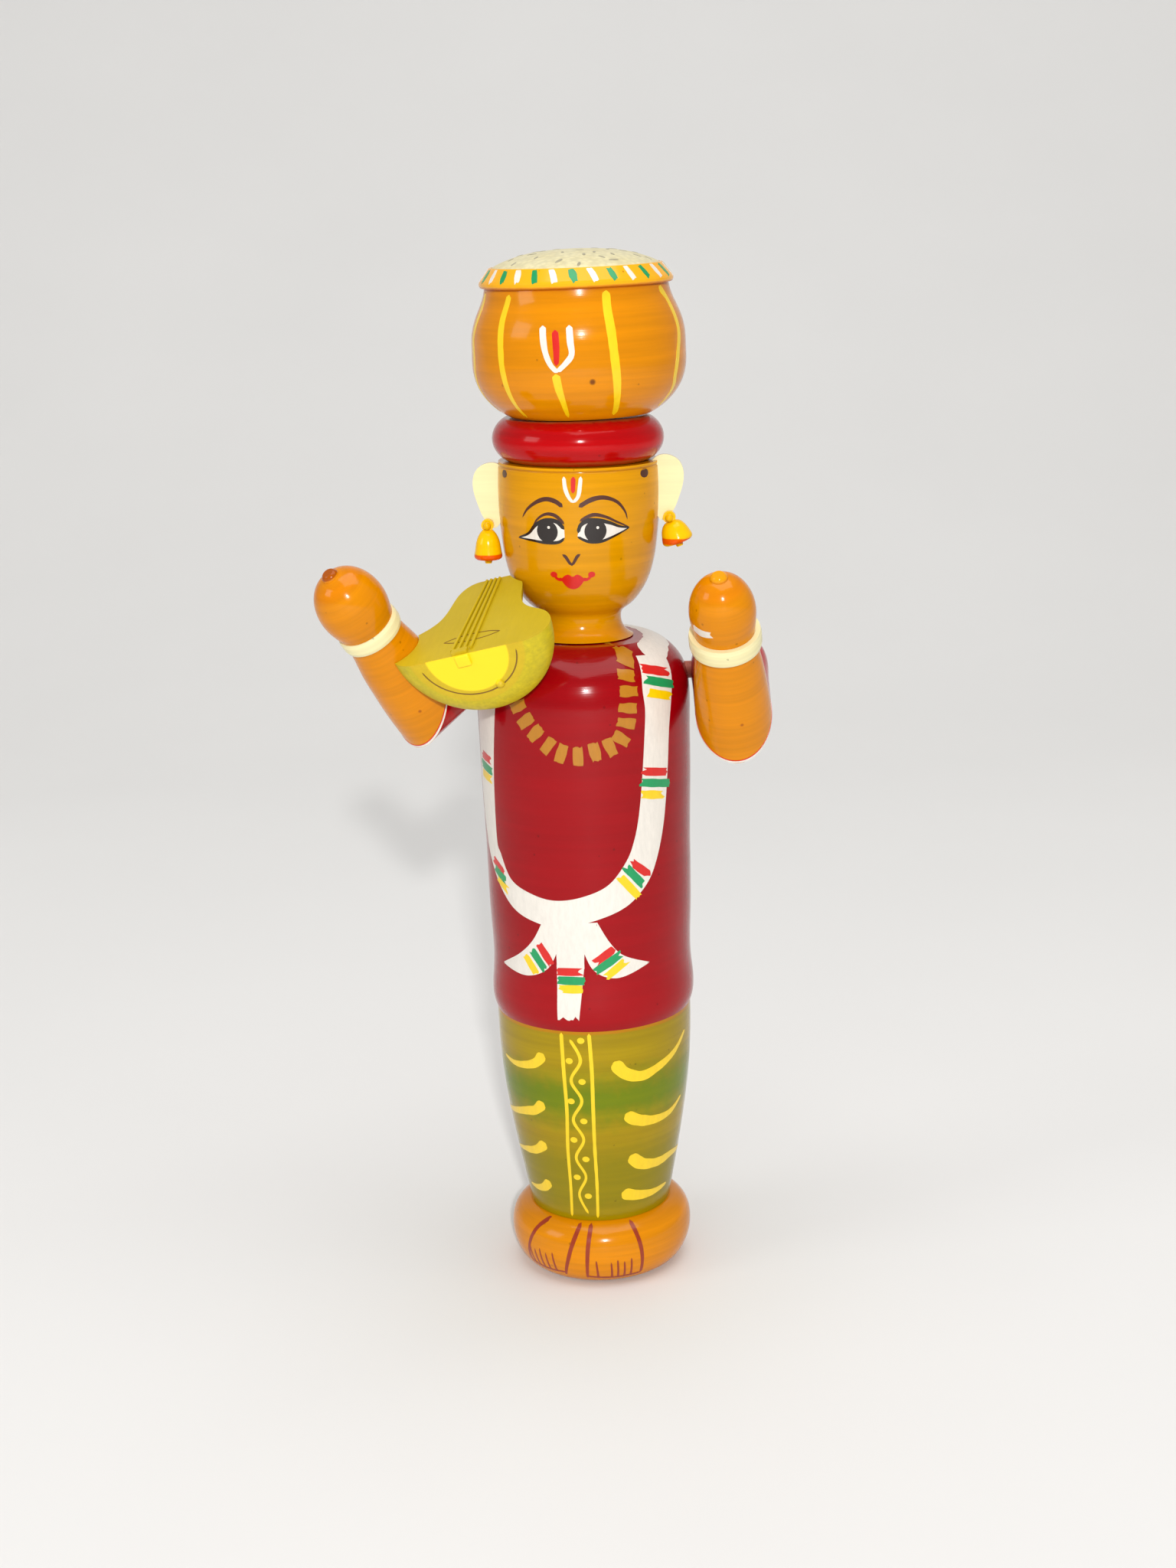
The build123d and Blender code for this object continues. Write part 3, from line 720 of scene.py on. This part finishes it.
class FIGURE_OT_pot_paint(bpy.types.Operator):
    """Paint the pot's stripes, its forked mark and the dashes of its rim"""

    bl_idname = "figure.pot_paint"
    bl_label = "Pot paint"

    STRIPES = (
        (((-44.9, 34.6), (-45.8, 29), (-45.2, 23), (-45, 17), (-43.8, 12.4), (-43.2, 7.9), (-43.1, 3.5), (-43.3, 1.0)),
         (2.3, 2.3, 2.1, 1.8, 1.3)),
        (((-12.7, 13.6), (-11.7, 9.3), (-10.4, 5.6), (-9.4, 1.2)), (2.2, 1.8, 1.1)),
        (((17.8, 35.0), (16.9, 29.9), (17.3, 24), (18.2, 18), (19.3, 12), (20.7, 6.7), (23.2, 1.2)),
         (2.7, 2.6, 2.4, 1.8)),
        (((60.4, 34.9), (66.6, 31.6), (67.7, 26.6), (67.5, 21.3), (64.5, 16.2), (62.6, 11), (65.7, 7), (66, 2)),
         (2.4, 2.2, 1.8)),
        (((101, 35.0), (99, 29), (100, 22), (98, 15), (97, 8), (99, 2)), (2.4, 2.3, 1.6)),
        (((136, 35.0), (138, 29), (136, 22), (139, 15), (137, 8), (136, 2)), (2.5, 2.2, 1.5)),
        (((176, 35.0), (174, 29), (176, 22), (175, 15), (178, 8), (177, 2)), (2.3, 2.2, 1.4)),
        (((213, 35.0), (216, 29), (214, 22), (215, 15), (213, 8), (214, 2)), (2.4, 2.1, 1.5)),
        (((258, 35.0), (255, 29), (257, 22), (256, 15), (259, 8), (258, 2)), (2.4, 2.2, 1.5)),
        (((283, 35.0), (285, 29), (283, 22), (284, 15), (282, 8), (284, 2)), (2.3, 2.2, 1.4)),
    )

    def execute(self, context):
        paints = settings()[1]
        wall = Surface("pot", POT)
        usual = 2.1
        strokes = [stroke(wall, line, [w * paints.stripe / MM / usual for w in widths], 1.2, seed=index)
                   for index, (line, widths) in enumerate(self.STRIPES)]
        finish_piece(strokes, "pot_stripes", "pot", paint("yellow"))
        left = stroke(wall, ((-19.1, 26.5), (-18.5, 22.2), (-17.4, 18.9), (-15, 15.9), (-11.5, 14.0)), (1.9, 1.7, 1.2),
                      1.6, seed=21)
        right = stroke(wall, ((-4.8, 26.4), (-4.4, 22), (-4, 18.6), (-7.5, 16.2), (-11.8, 14.2)), (1.9, 1.7, 1.2), 1.8,
                       seed=22)
        finish_piece([left, right], "pot_mark_white", "pot", paint("white"))
        centre = stroke(wall, ((-12.3, 25.3), (-11.8, 20.5), (-12.1, 15.8)), (1.9, 1.8, 1.3), 1.4, seed=23)
        finish_piece([centre], "pot_mark_red", "pot", paint("scarlet"))
        dashes = {"green": [], "white": []}
        for index in range(paints.dashes):
            middle = -2 + index * 360 / paints.dashes
            lean = noise.noise((index * 1.7, 4.0, 0.0)) * 2.4
            colour = "green" if index % 2 == 0 else "white"
            top = 41.1 if colour == "green" else 41.25
            dashes[colour].append(stroke(wall, ((middle - 1.5 + lean, top), (middle + 0.2, 39.4), (middle + 1.6, 37.5)),
                                         (1.4, 1.9, 1.4), 1.3, ragged=0.8, seed=30 + index, round_ends=False,
                                         wobble=0.2))
        finish_piece(dashes["green"], "rim_dashes_green", "pot", paint("green"))
        finish_piece(dashes["white"], "rim_dashes_white", "pot", paint("white"))
        return {"FINISHED"}


class FIGURE_OT_rice(bpy.types.Operator):
    """Scatter swollen grains over the heap of rice"""

    bl_idname = "figure.rice"
    bl_label = "Rice grains"

    def execute(self, context):
        heap = Surface("rice_mound", POT, "top")
        deselect()
        bpy.ops.mesh.primitive_ico_sphere_add(subdivisions=2, radius=1.0)
        grain = bpy.context.active_object
        bpy.ops.object.mode_set(mode="EDIT")
        bpy.ops.transform.resize(value=(1.5 * MM, 0.55 * MM, 0.16 * MM))
        bpy.ops.object.mode_set(mode="OBJECT")
        grains = []
        for index in range(settings()[1].grains):
            reach = 22.4 * math.sqrt((index + 2.5) / (settings()[1].grains + 2.5))
            angle = index * 2.39996 + noise.noise((index * 0.9, 0.0, 5.0)) * 0.5
            spot = (reach * math.cos(angle), reach * math.sin(angle))
            twin = copy_of(grain)
            size = 0.8 + 0.5 * abs(noise.noise((index * 1.3, 2.0, 1.0)))
            turn = frame_along(heap.point(*spot), heap.normal(*spot))
            twin.data.transform(turn @ Matrix.Rotation(noise.noise((index * 0.77, 8.0, 0.0)) * 6, 4, "Z")
                                @ Matrix.Scale(size, 4))
            grains.append(twin)
        bpy.data.objects.remove(grain)
        finish_piece(grains, "rice_grains", "pot", brush_paint("grain_marks", srgb(158, 150, 122), gloss=0.3))
        return {"FINISHED"}


class FIGURE_OT_face(bpy.types.Operator):
    """Paint the face: mark, brows, lids, eyes, nose and mouth"""

    bl_idname = "figure.face"
    bl_label = "Face"

    def execute(self, context):
        skin = Surface("head", HEAD)
        fine = settings()[1].line / MM
        lids = (
            (((-49.5, 30.7), (-39.1, 32.2), (-32.3, 34.8), (-24, 36.3), (-15.8, 35.9), (-10.9, 33.8)),
             ((-49.5, 30.7), (-35.5, 30.3), (-24.9, 29.9), (-15.1, 30.2), (-10.8, 31.5))),
            (((-1.2, 32.8), (0.6, 35), (5.6, 36.2), (12.4, 36.3), (21.7, 35.3), (29.2, 34.1), (37.4, 33.5)),
             ((-1.7, 31.8), (5.5, 30.4), (14.7, 30.2), (24.3, 31.4), (37.4, 33.5))),
        )
        whites = [between(skin, upper, lower, 0.7) for upper, lower in lids]
        glints = [dab(skin, (-22.1, 34.3), 0.4, 2.4), dab(skin, (12.6, 34.2), 0.4, 2.4)]
        marks = [stroke(skin, ((-10.5, 48.5), (-9.6, 45.2), (-7, 42.6), (-4.0, 41.3)), (1.0, 1.15, 0.8), seed=1),
                 stroke(skin, ((1.2, 48.5), (0.6, 46.1), (-0.8, 43), (-4.4, 41.3)), (1.0, 1.15, 0.8), 1.2, seed=2)]
        finish_piece(whites + glints + marks, "face_whites", "head", paint("white"))
        irises = [dab(skin, (-23.5, 33.1), 3.15, 1.5), dab(skin, (11.1, 33.2), 3.15, 1.5)]
        edges = []
        for index, (upper, lower) in enumerate(lids):
            heavy = (1.0, 1.8, 2.6, 2.9, 2.4) if index == 0 else (2.4, 2.9, 2.6, 1.8, 1.0)
            edges.append(stroke(skin, upper, [fine * part for part in heavy], 1.8, seed=3 + index))
            edges.append(stroke(skin, lower, [fine * part * 0.72 for part in heavy], 1.9, seed=5 + index))
        finish_piece(irises + edges, "face_eyes", "head",
                     brush_paint("paint_black", srgb(26, 14, 8), gloss=0.12))
        brows = [
            stroke(skin, ((-11.6, 40.1), (-16.6, 41.6), (-23.6, 42.2), (-31.2, 41.2), (-39.1, 39), (-43.8, 36.6)),
                   (1.3, 1.3, 1.1, 0.8, 0.3), seed=11),
            stroke(skin, ((-0.5, 40.1), (8, 42), (17.1, 42.5), (26.7, 41.1), (33.2, 38.3), (35.5, 35.9)),
                   (1.3, 1.3, 1.1, 0.8, 0.3), seed=12),
        ]
        creases = [
            stroke(skin, ((-35.5, 33.5), (-31.1, 36.3), (-23.9, 38), (-16.8, 37.6), (-10.8, 35.3)), (0.35, 0.55, 0.8, 1.1, 0.8),
                   seed=13),
            stroke(skin, ((0, 36.1), (9, 37.8), (18.2, 37.1), (26.7, 35.5), (37.4, 33.6)), (0.8, 1.1, 0.8, 0.55, 0.3),
                   seed=14),
        ]
        nose = stroke(skin, ((-13.0, 26.7), (-10.6, 26.0), (-6.3, 23.8), (-2.2, 26.1), (0.2, 26.8)), (0.85,), seed=15)
        temples = [dab(skin, (53, 48.1), 1.25, stretch=1.5), dab(skin, (-65, 48.0), 1.1, stretch=1.4)]
        finish_piece(brows + creases + temples + [nose], "face_lines", "head", paint("brown"))
        mouth = between(
            skin, ((-15.0, 19.6), (-12.2, 20.5), (-9.2, 20.9), (-6.0, 20.2), (-2.8, 20.9), (0.2, 20.5), (3.0, 19.6)),
            ((-15.0, 19.2), (-12.4, 17.7), (-9.3, 16.8), (-6.0, 16.5), (-2.7, 16.8), (0.4, 17.7), (3.0, 19.2)))
        curls = [stroke(skin, ((-13.8, 19.5), (-17.4, 19.4), (-20.0, 20.3)), (1.3, 0.8, 0.8), 1.3),
                 stroke(skin, ((1.8, 19.5), (5.4, 19.4), (8.0, 20.3)), (1.3, 0.8, 0.8), 1.3),
                 dab(skin, (-20.6, 20.8), 0.85, 1.4, 1.2), dab(skin, (8.6, 20.8), 0.85, 1.4, 1.2)]
        mark = stroke(skin, ((-3.9, 48.5), (-4.3, 43.9)), (1.3, 1.2), 1.1, seed=16)
        finish_piece([mouth, mark] + curls, "face_reds", "head", paint("scarlet"))
        return {"FINISHED"}


class FIGURE_OT_garland(bpy.types.Operator):
    """Paint the necklace, the white garland with its tails and the coloured ties across it"""

    bl_idname = "figure.garland"
    bl_label = "Garland and necklace"

    NECKLACE = ((31.4, 194.2), (28.3, 192), (25.3, 188.4), (24.9, 184.1), (23.4, 179.5), (22.2, 175.3), (19.2, 170.9),
                (13.1, 168.7), (5, 167.6), (-3.9, 166.7), (-12.6, 167.5), (-19.7, 169.6), (-26.5, 173), (-32.1, 176.3),
                (-36.6, 180.3), (-40.2, 184.6), (-43.0, 189.0), (-45.4, 192.6))
    TIES = (
        ("scarlet", ((-21.2, 101.9), (-5.0, 102.1))), ("green", ((-21.5, 99.3), (-3.4, 99.3))),
        ("yellow", ((-20.4, 96.7), (-5.6, 96.8))),
        ("scarlet", ((-31.2, 109.9), (-23.4, 103.6))), ("green", ((-36.4, 107.8), (-27.0, 101.3))),
        ("yellow", ((-41.4, 105.7), (-33.0, 99.8))),
        ("scarlet", ((13.0, 109.0), (0.6, 104.6))), ("green", ((16.9, 107.2), (0.8, 101.9))),
        ("yellow", ((20.4, 105.2), (6.4, 99.9))),
        ("scarlet", ((35.6, 189.6), (56.4, 186.8))), ("green", ((35.0, 186.7), (57.2, 183.3))),
        ("yellow", ((35.3, 183.1), (54.6, 180.1))),
        ("scarlet", ((30.0, 160.6), (48.8, 158.6))), ("green", ((29.2, 157.4), (51.2, 155))),
        ("yellow", ((29.5, 153.9), (46.7, 152.0))),
        ("scarlet", ((22.4, 134.6), (35.4, 128.9))), ("green", ((19.3, 133.4), (31.5, 126))),
        ("yellow", ((15.9, 130.7), (27.7, 123.2))),
        ("scarlet", ((-67.5, 132.3), (-54.6, 129.0))), ("green", ((-66.2, 130.0), (-52.6, 126.6))),
        ("yellow", ((-62.6, 127.2), (-51.4, 123.8))),
        ("scarlet", ((-75.4, 163.1), (-60.8, 162.1))), ("green", ((-77.4, 160.3), (-60.3, 158.9))),
        ("yellow", ((-75.8, 157.4), (-61.0, 156.3))),
    )

    def execute(self, context):
        chest = Surface("torso", FIGURE)
        inner = ((37.5, 192.6), (33.3, 184.7), (33.6, 176.9), (31.7, 162.8), (28.6, 148), (24.9, 139.6), (19.8, 134),
                 (9.7, 128), (-5, 124.8), (-20, 123.6), (-34, 124.8), (-48.8, 127.9), (-57.3, 134.5), (-61.1, 139.6),
                 (-59, 161), (-55, 176), (-51, 187), (-49, 190.6))
        outer = ((62.0, 191.6), (54.2, 181.3), (51.0, 172), (49.2, 160.3), (45.2, 143), (37.4, 130.5), (26.9, 123.8),
                 (14.6, 119.8), (-8, 116.3), (-18, 115.9), (-29.2, 116), (-50, 120.0), (-70.7, 131.6), (-78.6, 141.7),
                 (-80, 158.6), (-78, 174), (-72, 185), (-69, 190.0))
        strips = [between(chest, inner, outer, 1.0)]
        shoulders = Surface("torso", Matrix.Translation((0, 0, 190 * MM)), "top")
        strips.append(stroke(shoulders, ((17.6, -17.6), (20.4, -12), (21.4, 0), (17.5, 12), (9, 19), (0, 20.8), (-9, 19),
                                         (-17.5, 12), (-21.4, 0), (-20.4, -12), (-17.6, -17.6)),
                             (7.8, 7.2, 6.6, 7.4, 6.8, 7.6), 1.15, seed=3))
        strips.append(between(chest, ((-27.8, 117.0), (-24, 112), (-20.8, 108), (-20.7, 103.0)),
                              ((3.2, 117.1), (0, 112), (-4.2, 108), (-4.8, 103.0)), 1.05))
        strips.append(between(chest, ((-27.8, 117.0), (-35.0, 110.6), (-46.0, 105.4), (-62.5, 100.7)),
                              ((-18.5, 110.0), (-26.0, 102.6), (-41.0, 99.2), (-62.0, 100.4)), 1.15, ragged=1.2, seed=6))
        strips.append(between(chest, ((-20.7, 104.0), (-20.8, 96.0), (-20.9, 87.2)),
                              ((-4.8, 104.0), (-6.6, 96.0), (-8.7, 87.2)), 1.2, ragged=1.6, seed=7))
        strips.append(between(chest, ((3.2, 117.1), (10.0, 110.6), (18.0, 106.2), (33.8, 102.8)),
                              ((-6.0, 110.0), (0.5, 102.4), (14.0, 99.6), (33.2, 102.5)), 1.15, ragged=1.2, seed=8))
        finish_piece(strips, "garland_white", "figure", paint("white"))
        for colour, slot in (("scarlet", "red_lacquer"), ("green", None), ("yellow", "yellow_lacquer")):
            ties = [stroke(chest, line, (2.3, 2.5, 2.2), 2.2, ragged=2.2, seed=index * 1.7, round_ends=False)
                    for index, (name, line) in enumerate(self.TIES) if name == colour]
            finish_piece(ties, f"garland_ties_{colour}", "figure", paint(colour))
        beads = []
        line = self.NECKLACE
        for index, (across, height) in enumerate(line):
            last, following = line[max(0, index - 1)], line[min(len(line) - 1, index + 1)]
            way = Vector(((following[0] - last[0]) * 0.53, following[1] - last[1])).normalized()
            side = Vector((-way.y / 0.53, way.x)) * 2.9
            beads.append(stroke(chest, ((across - side.x, height - side.y), (across + side.x, height + side.y)),
                                (2.7, 3.1, 2.7), 1.6, ragged=0.7, seed=index * 2.3, round_ends=False, wobble=0.12))
        finish_piece(beads, "necklace", "figure", paint("ochre"))
        return {"FINISHED"}


class FIGURE_OT_skirt_paint(bpy.types.Operator):
    """Paint the skirt's pleat lines, its wavy line with dots and the folds at its sides"""

    bl_idname = "figure.skirt_paint"
    bl_label = "Skirt paint"

    FOLDS = (
        ((10.2, 73.6), (16.6, 69.7), (27.3, 67.8), (38.8, 69.1), (53.7, 72), (66.7, 76.6)),
        ((17.1, 56.3), (24.1, 53.8), (36.8, 52.2), (52.6, 52.5), (65.9, 55.6)),
        ((21, 41.7), (30.3, 38.1), (45.4, 36.7), (63, 36.9), (86, 35.4)),
        ((15.8, 29.1), (27.6, 27.4), (43.2, 26.5), (62, 26.9)),
        ((-32.3, 75.4), (-37.7, 72.2), (-46.5, 70.4), (-58.3, 69.5), (-69.9, 70.2)),
        ((-35.1, 59.3), (-42.1, 56.2), (-50, 54.9), (-69.4, 52.2), (-89, 50.3)),
        ((-38.1, 45.3), (-46.3, 42.4), (-55.1, 40.9), (-77.6, 38.8)),
        ((-40.5, 31.8), (-47.6, 29), (-57.5, 27.7), (-68, 27.5)),
    )

    def execute(self, context):
        cloth = Surface("skirt", FIGURE)
        lines = [
            stroke(cloth, ((-20, 82.9), (-19.5, 70.5), (-19.3, 58), (-21.2, 44.8), (-22.4, 31.6), (-24.5, 21)), (1.0,), seed=1),
            stroke(cloth, ((-3.7, 82.9), (-2.8, 70.9), (-2.9, 58.4), (-3, 45.5), (-2.6, 32.2), (-3.1, 21)), (1.0,), seed=2),
        ]
        wave, dots = [], []
        for index in range(10):
            height = 81 - index * 6.5
            wave.append((-12 + (3.0 if index % 2 else -3.0) - (81 - height) * 0.025, height))
            if index < 9:
                dots.append(dab(cloth, (-12.2 + (-3.6 if index % 2 else 3.6) - (78 - height) * 0.02, height - 0.3), 0.95,
                                stretch=1.15))
        lines.append(stroke(cloth, wave, (0.9,), seed=3))
        folds = list(self.FOLDS) + [tuple((180 + across, height) for across, height in fold) for fold in self.FOLDS]
        for index, fold in enumerate(folds):
            full = 1.3 if index % 8 < 4 else 1.05
            lines.append(stroke(cloth, fold, [full * width for width in (3.2, 2.7, 2.1, 1.4, 0.7)], seed=10 + index))
        lines.append(stroke(cloth, ((171, 82.9), (170, 60), (171, 40), (169, 21)), (1.0,), seed=40))
        lines.append(stroke(cloth, ((189, 82.9), (190, 60), (189, 40), (191, 21)), (1.0,), seed=41))
        finish_piece(lines + dots, "skirt_lines", "figure", paint("yellow"))
        return {"FINISHED"}


class FIGURE_OT_foot_lines(bpy.types.Operator):
    """Draw the feet and their toes on the base"""

    bl_idname = "figure.foot_lines"
    bl_label = "Feet"

    def execute(self, context):
        foot = Surface("base_disc", FIGURE)
        lines = []
        for index, line in enumerate((
                ((-42, 19.8), (-48, 17.0), (-53, 12), (-56, 7.5), (-56.5, 4.6)),
                ((-16, 19.9), (-20, 14), (-23, 9), (-27, 3.2)), ((-8, 19.9), (-9.4, 14), (-10.2, 9), (-11.2, 2.8)),
                ((21.5, 19.9), (24.2, 14), (25.6, 9), (26.2, 3.2)))):
            lines.append(stroke(foot, line, (1.5, 1.2, 0.9), seed=index))
        for start, end, low, ticks in ((-56.5, -26.6, 4.6, (-53, -48.4, -43.8, -39.0, -33.6)),
                                       (-11.2, 26.2, 3.5, (-4.0, 5.4, 9.6, 14.0, 18.6))):
            lines.append(stroke(foot, ((start, low), ((start + end) / 2, low - 0.6), (end, low - 0.2)), (0.65,), 1.2))
            lines += [stroke(foot, ((tick - 0.5, low + 6.2 - 0.8 * (index % 2)), (tick, low + 2.4), (tick + 0.3, low - 0.8)),
                             (0.5, 0.75)) for index, tick in enumerate(ticks)]
        finish_piece(lines, "foot_lines", "figure", brush_paint("paint_russet", srgb(146, 44, 0)))
        return {"FINISHED"}


class FIGURE_OT_arm_trim(bpy.types.Operator):
    """Add the cream seam and red line where each forearm meets its upper arm, and the white dab on the right hand"""

    bl_idname = "figure.arm_trim"
    bl_label = "Arm trim"

    def execute(self, context):
        for side in SIDES:
            place = ARM[side]
            sleeve = Surface(f"forearm_{side}", place)
            to_shoulder = (SHOULDER[side] - ELBOW[side]).normalized()
            mitre = place.to_3x3().inverted() @ (FOREARM_WAY[side] - to_shoulder).normalized()
            body = "arm_right" if side == "right" else "figure"

            def ring(lift, radius=10.9, around=mitre):
                points = []
                for index in range(73):
                    turn = math.radians(index * 5)
                    flat = around.x * math.sin(turn) * radius - around.y * math.cos(turn) * radius
                    points.append(Vector((index * 5, lift - flat / around.z)))
                return points

            for name, low, high, colour, slot in (("cream", 0.1, 0.8, "white", "cream_lacquer"),
                                                  ("red", 0.8, 1.15, "scarlet", "red_lacquer")):
                band = film(sleeve, ring(low), ring(high), 1.3, spacing=0.4)
                finish_piece([band], f"elbow_{name}_{side}", body, paint(colour))
        hand = Surface("forearm_right", ARM["right"])
        finish_piece([stroke(hand, ((-64, 35.8), (-44, 35.4), (-22, 35.8)), (2.4, 2.6, 2.0), 1.2, ragged=0.8,
                             round_ends=False)], "hand_dab_right", "arm_right",
                     paint("white"))
        return {"FINISHED"}


class FIGURE_OT_instrument(bpy.types.Operator):
    """Dress the long-necked instrument: rim of the bowl, hanging block, side nub, engraved lens and grooves"""

    bl_idname = "figure.instrument"
    bl_label = "Instrument"

    def execute(self, context):
        board = Surface("tambura_body", BOARD, "board")
        front = Surface("tambura_body", BOARD, "front")
        grooves = []
        for lift in (-1.25, 1.25):
            grooves.append(stroke(board, ((-8.6, 8.6), (-5, 8.6 + lift), (0, 8.6 + lift * 1.35), (5, 8.6 + lift), (8.6, 8.6)),
                                  (0.35,), 1.0))
        rim = [(14.6 * math.cos(math.radians(turn)), 13.2 * math.sin(math.radians(turn))) for turn in range(8, 173, 8)]
        grooves.append(stroke(front, rim, (0.4,), 1.0))
        finish_piece(grooves, "instrument_grooves", "figure",
                     brush_paint("groove_shade", srgb(120, 84, 0), gloss=0.6))
        parts = []
        deselect()
        bpy.ops.mesh.primitive_cube_add(size=1.0)
        block = bpy.context.active_object
        bpy.ops.object.mode_set(mode="EDIT")
        bpy.ops.transform.resize(value=(4.2 * MM, 3.6 * MM, 1.2 * MM))
        bpy.ops.mesh.bevel(offset=0.35 * MM, segments=3, affect="EDGES")
        bpy.ops.object.mode_set(mode="OBJECT")
        block.data.transform(BOARD @ Matrix.Translation(Vector((-1.2, 1.6, -0.45)) * MM))
        parts.append(block)
        deselect()
        bpy.ops.mesh.primitive_uv_sphere_add(segments=24, ring_count=12, radius=1.3 * MM)
        nub = bpy.context.active_object
        bpy.ops.object.mode_set(mode="EDIT")
        bpy.ops.mesh.bisect(plane_co=(0, 0, 0), plane_no=(0, 0, 1), clear_outer=True, use_fill=True)
        bpy.ops.object.mode_set(mode="OBJECT")
        nub.data.transform(BOARD @ Matrix.Translation(Vector((6.0, 11.5, 0.1)) * MM))
        parts.append(nub)
        finish_piece(parts, "instrument_fittings", "figure", bpy.data.materials["instrument_yellow"])
        return {"FINISHED"}


class FIGURE_OT_stage(bpy.types.Operator):
    """Set out the pale floor, the soft studio light and the camera"""

    bl_idname = "figure.stage"
    bl_label = "Stage"

    def execute(self, context):
        stage = settings()[2]
        deselect()
        bpy.ops.mesh.primitive_plane_add(size=1.0)
        floor = context.active_object
        floor.name = "floor"
        bpy.ops.object.mode_set(mode="EDIT")
        bpy.ops.transform.resize(value=(4.0, 4.0, 1.0))
        bpy.ops.mesh.select_mode(type="EDGE")
        bpy.ops.mesh.select_all(action="DESELECT")
        bpy.ops.object.mode_set(mode="OBJECT")
        for edge in floor.data.edges:
            edge.select = all(floor.data.vertices[i].co.y > 1.9 for i in edge.vertices)
        bpy.ops.object.mode_set(mode="EDIT")
        bpy.ops.mesh.extrude_region_move(TRANSFORM_OT_translate={"value": (0, 0, 3.0)})
        bpy.ops.object.mode_set(mode="OBJECT")
        for edge in floor.data.edges:
            edge.select = all(abs(floor.data.vertices[i].co.z) + abs(floor.data.vertices[i].co.y - 2) < 0.1
                              for i in edge.vertices)
        bpy.ops.object.mode_set(mode="EDIT")
        bpy.ops.mesh.bevel(offset=1.4, segments=24, affect="EDGES")
        bpy.ops.mesh.select_all(action="SELECT")
        bpy.ops.mesh.normals_make_consistent(inside=False)
        bpy.ops.object.mode_set(mode="OBJECT")
        bpy.ops.object.shade_smooth()
        material, tree, shader, vector = start_material("pale_floor")
        result = blend_colour(tree, stretched_noise(tree, vector, (3, 3, 3), 3.0), srgb(232, 231, 229), srgb(224, 223, 221))
        tree.links.new(result, shader.inputs["Base Color"])
        shader.inputs["Roughness"].default_value = 0.7
        floor.data.materials.append(material)
        world = bpy.data.worlds.new("soft_room")
        world.use_nodes = True
        world.node_tree.nodes["Background"].inputs["Color"].default_value = (1.0, 0.985, 0.97, 1)
        world.node_tree.nodes["Background"].inputs["Strength"].default_value = 0.34 * stage.brightness
        context.scene.world = world
        for name, place, target, size, power in (
                ("top_softbox", (0.2, -0.3, 2.2), (0, 0, 0.15), 1.8, 26.0),
                ("left_softbox", (-2.2, -0.9, 1.2), (0, 0, 0.16), 0.9, 9.0),
                ("key_light", (0.12, -2.1, 0.98), (0, 0, 0.17), 0.075, 36.0)):
            bpy.ops.object.light_add(type="AREA", location=place)
            light = context.active_object
            light.name = name
            light.data.shape = "SQUARE"
            light.data.size = size
            light.data.energy = power * stage.brightness
            light.rotation_euler = (Vector(target) - Vector(place)).to_track_quat("-Z", "Y").to_euler()
        bpy.ops.object.camera_add(location=(0, -stage.distance, stage.height))
        camera = context.active_object
        turn = math.radians(0.04)
        forward = Vector((math.sin(turn) * math.cos(stage.pitch), math.cos(turn) * math.cos(stage.pitch),
                          -math.sin(stage.pitch)))
        right = forward.cross(Vector((0, 0, 1))).normalized()
        up = right.cross(forward)
        tilted = math.cos(stage.roll) * right - math.sin(stage.roll) * up
        upward = math.sin(stage.roll) * right + math.cos(stage.roll) * up
        camera.rotation_euler = Matrix((tilted, upward, -forward)).transposed().to_euler()
        camera.data.sensor_width = 36.0
        camera.data.lens = stage.lens
        context.scene.camera = camera
        context.scene.view_settings.view_transform = "Standard"
        return {"FINISHED"}


OPERATORS = (FIGURE_OT_finishes, FIGURE_OT_pot_paint, FIGURE_OT_rice, FIGURE_OT_face, FIGURE_OT_garland,
             FIGURE_OT_skirt_paint, FIGURE_OT_foot_lines, FIGURE_OT_arm_trim, FIGURE_OT_instrument, FIGURE_OT_stage)


class FIGURE_PT_panel(bpy.types.Panel):
    """Settings and steps of the figure"""

    bl_idname = "FIGURE_PT_panel"
    bl_label = "Turned Figure"
    bl_space_type = "VIEW_3D"
    bl_region_type = "UI"
    bl_category = "Figure"

    def draw(self, context):
        for group in settings():
            box = self.layout.box()
            for name in group.__annotations__:
                box.prop(group, name)
        for operator in OPERATORS:
            self.layout.operator(operator.bl_idname)


GROUPS = {"figure_colours": FigureColours, "figure_paint": FigurePaint, "figure_stage": FigureStage}
CLASSES = (*GROUPS.values(), *OPERATORS, FIGURE_PT_panel)


def register():
    for each in CLASSES:
        bpy.utils.register_class(each)
    for name, group in GROUPS.items():
        setattr(bpy.types.Scene, name, PointerProperty(type=group))


def unregister():
    for name in GROUPS:
        delattr(bpy.types.Scene, name)
    for each in reversed(CLASSES):
        bpy.utils.unregister_class(each)


def main():
    register()
    for operator in OPERATORS:
        group, name = operator.bl_idname.split(".")
        getattr(getattr(bpy.ops, group), name)()


if __name__ == "__main__":
    main()
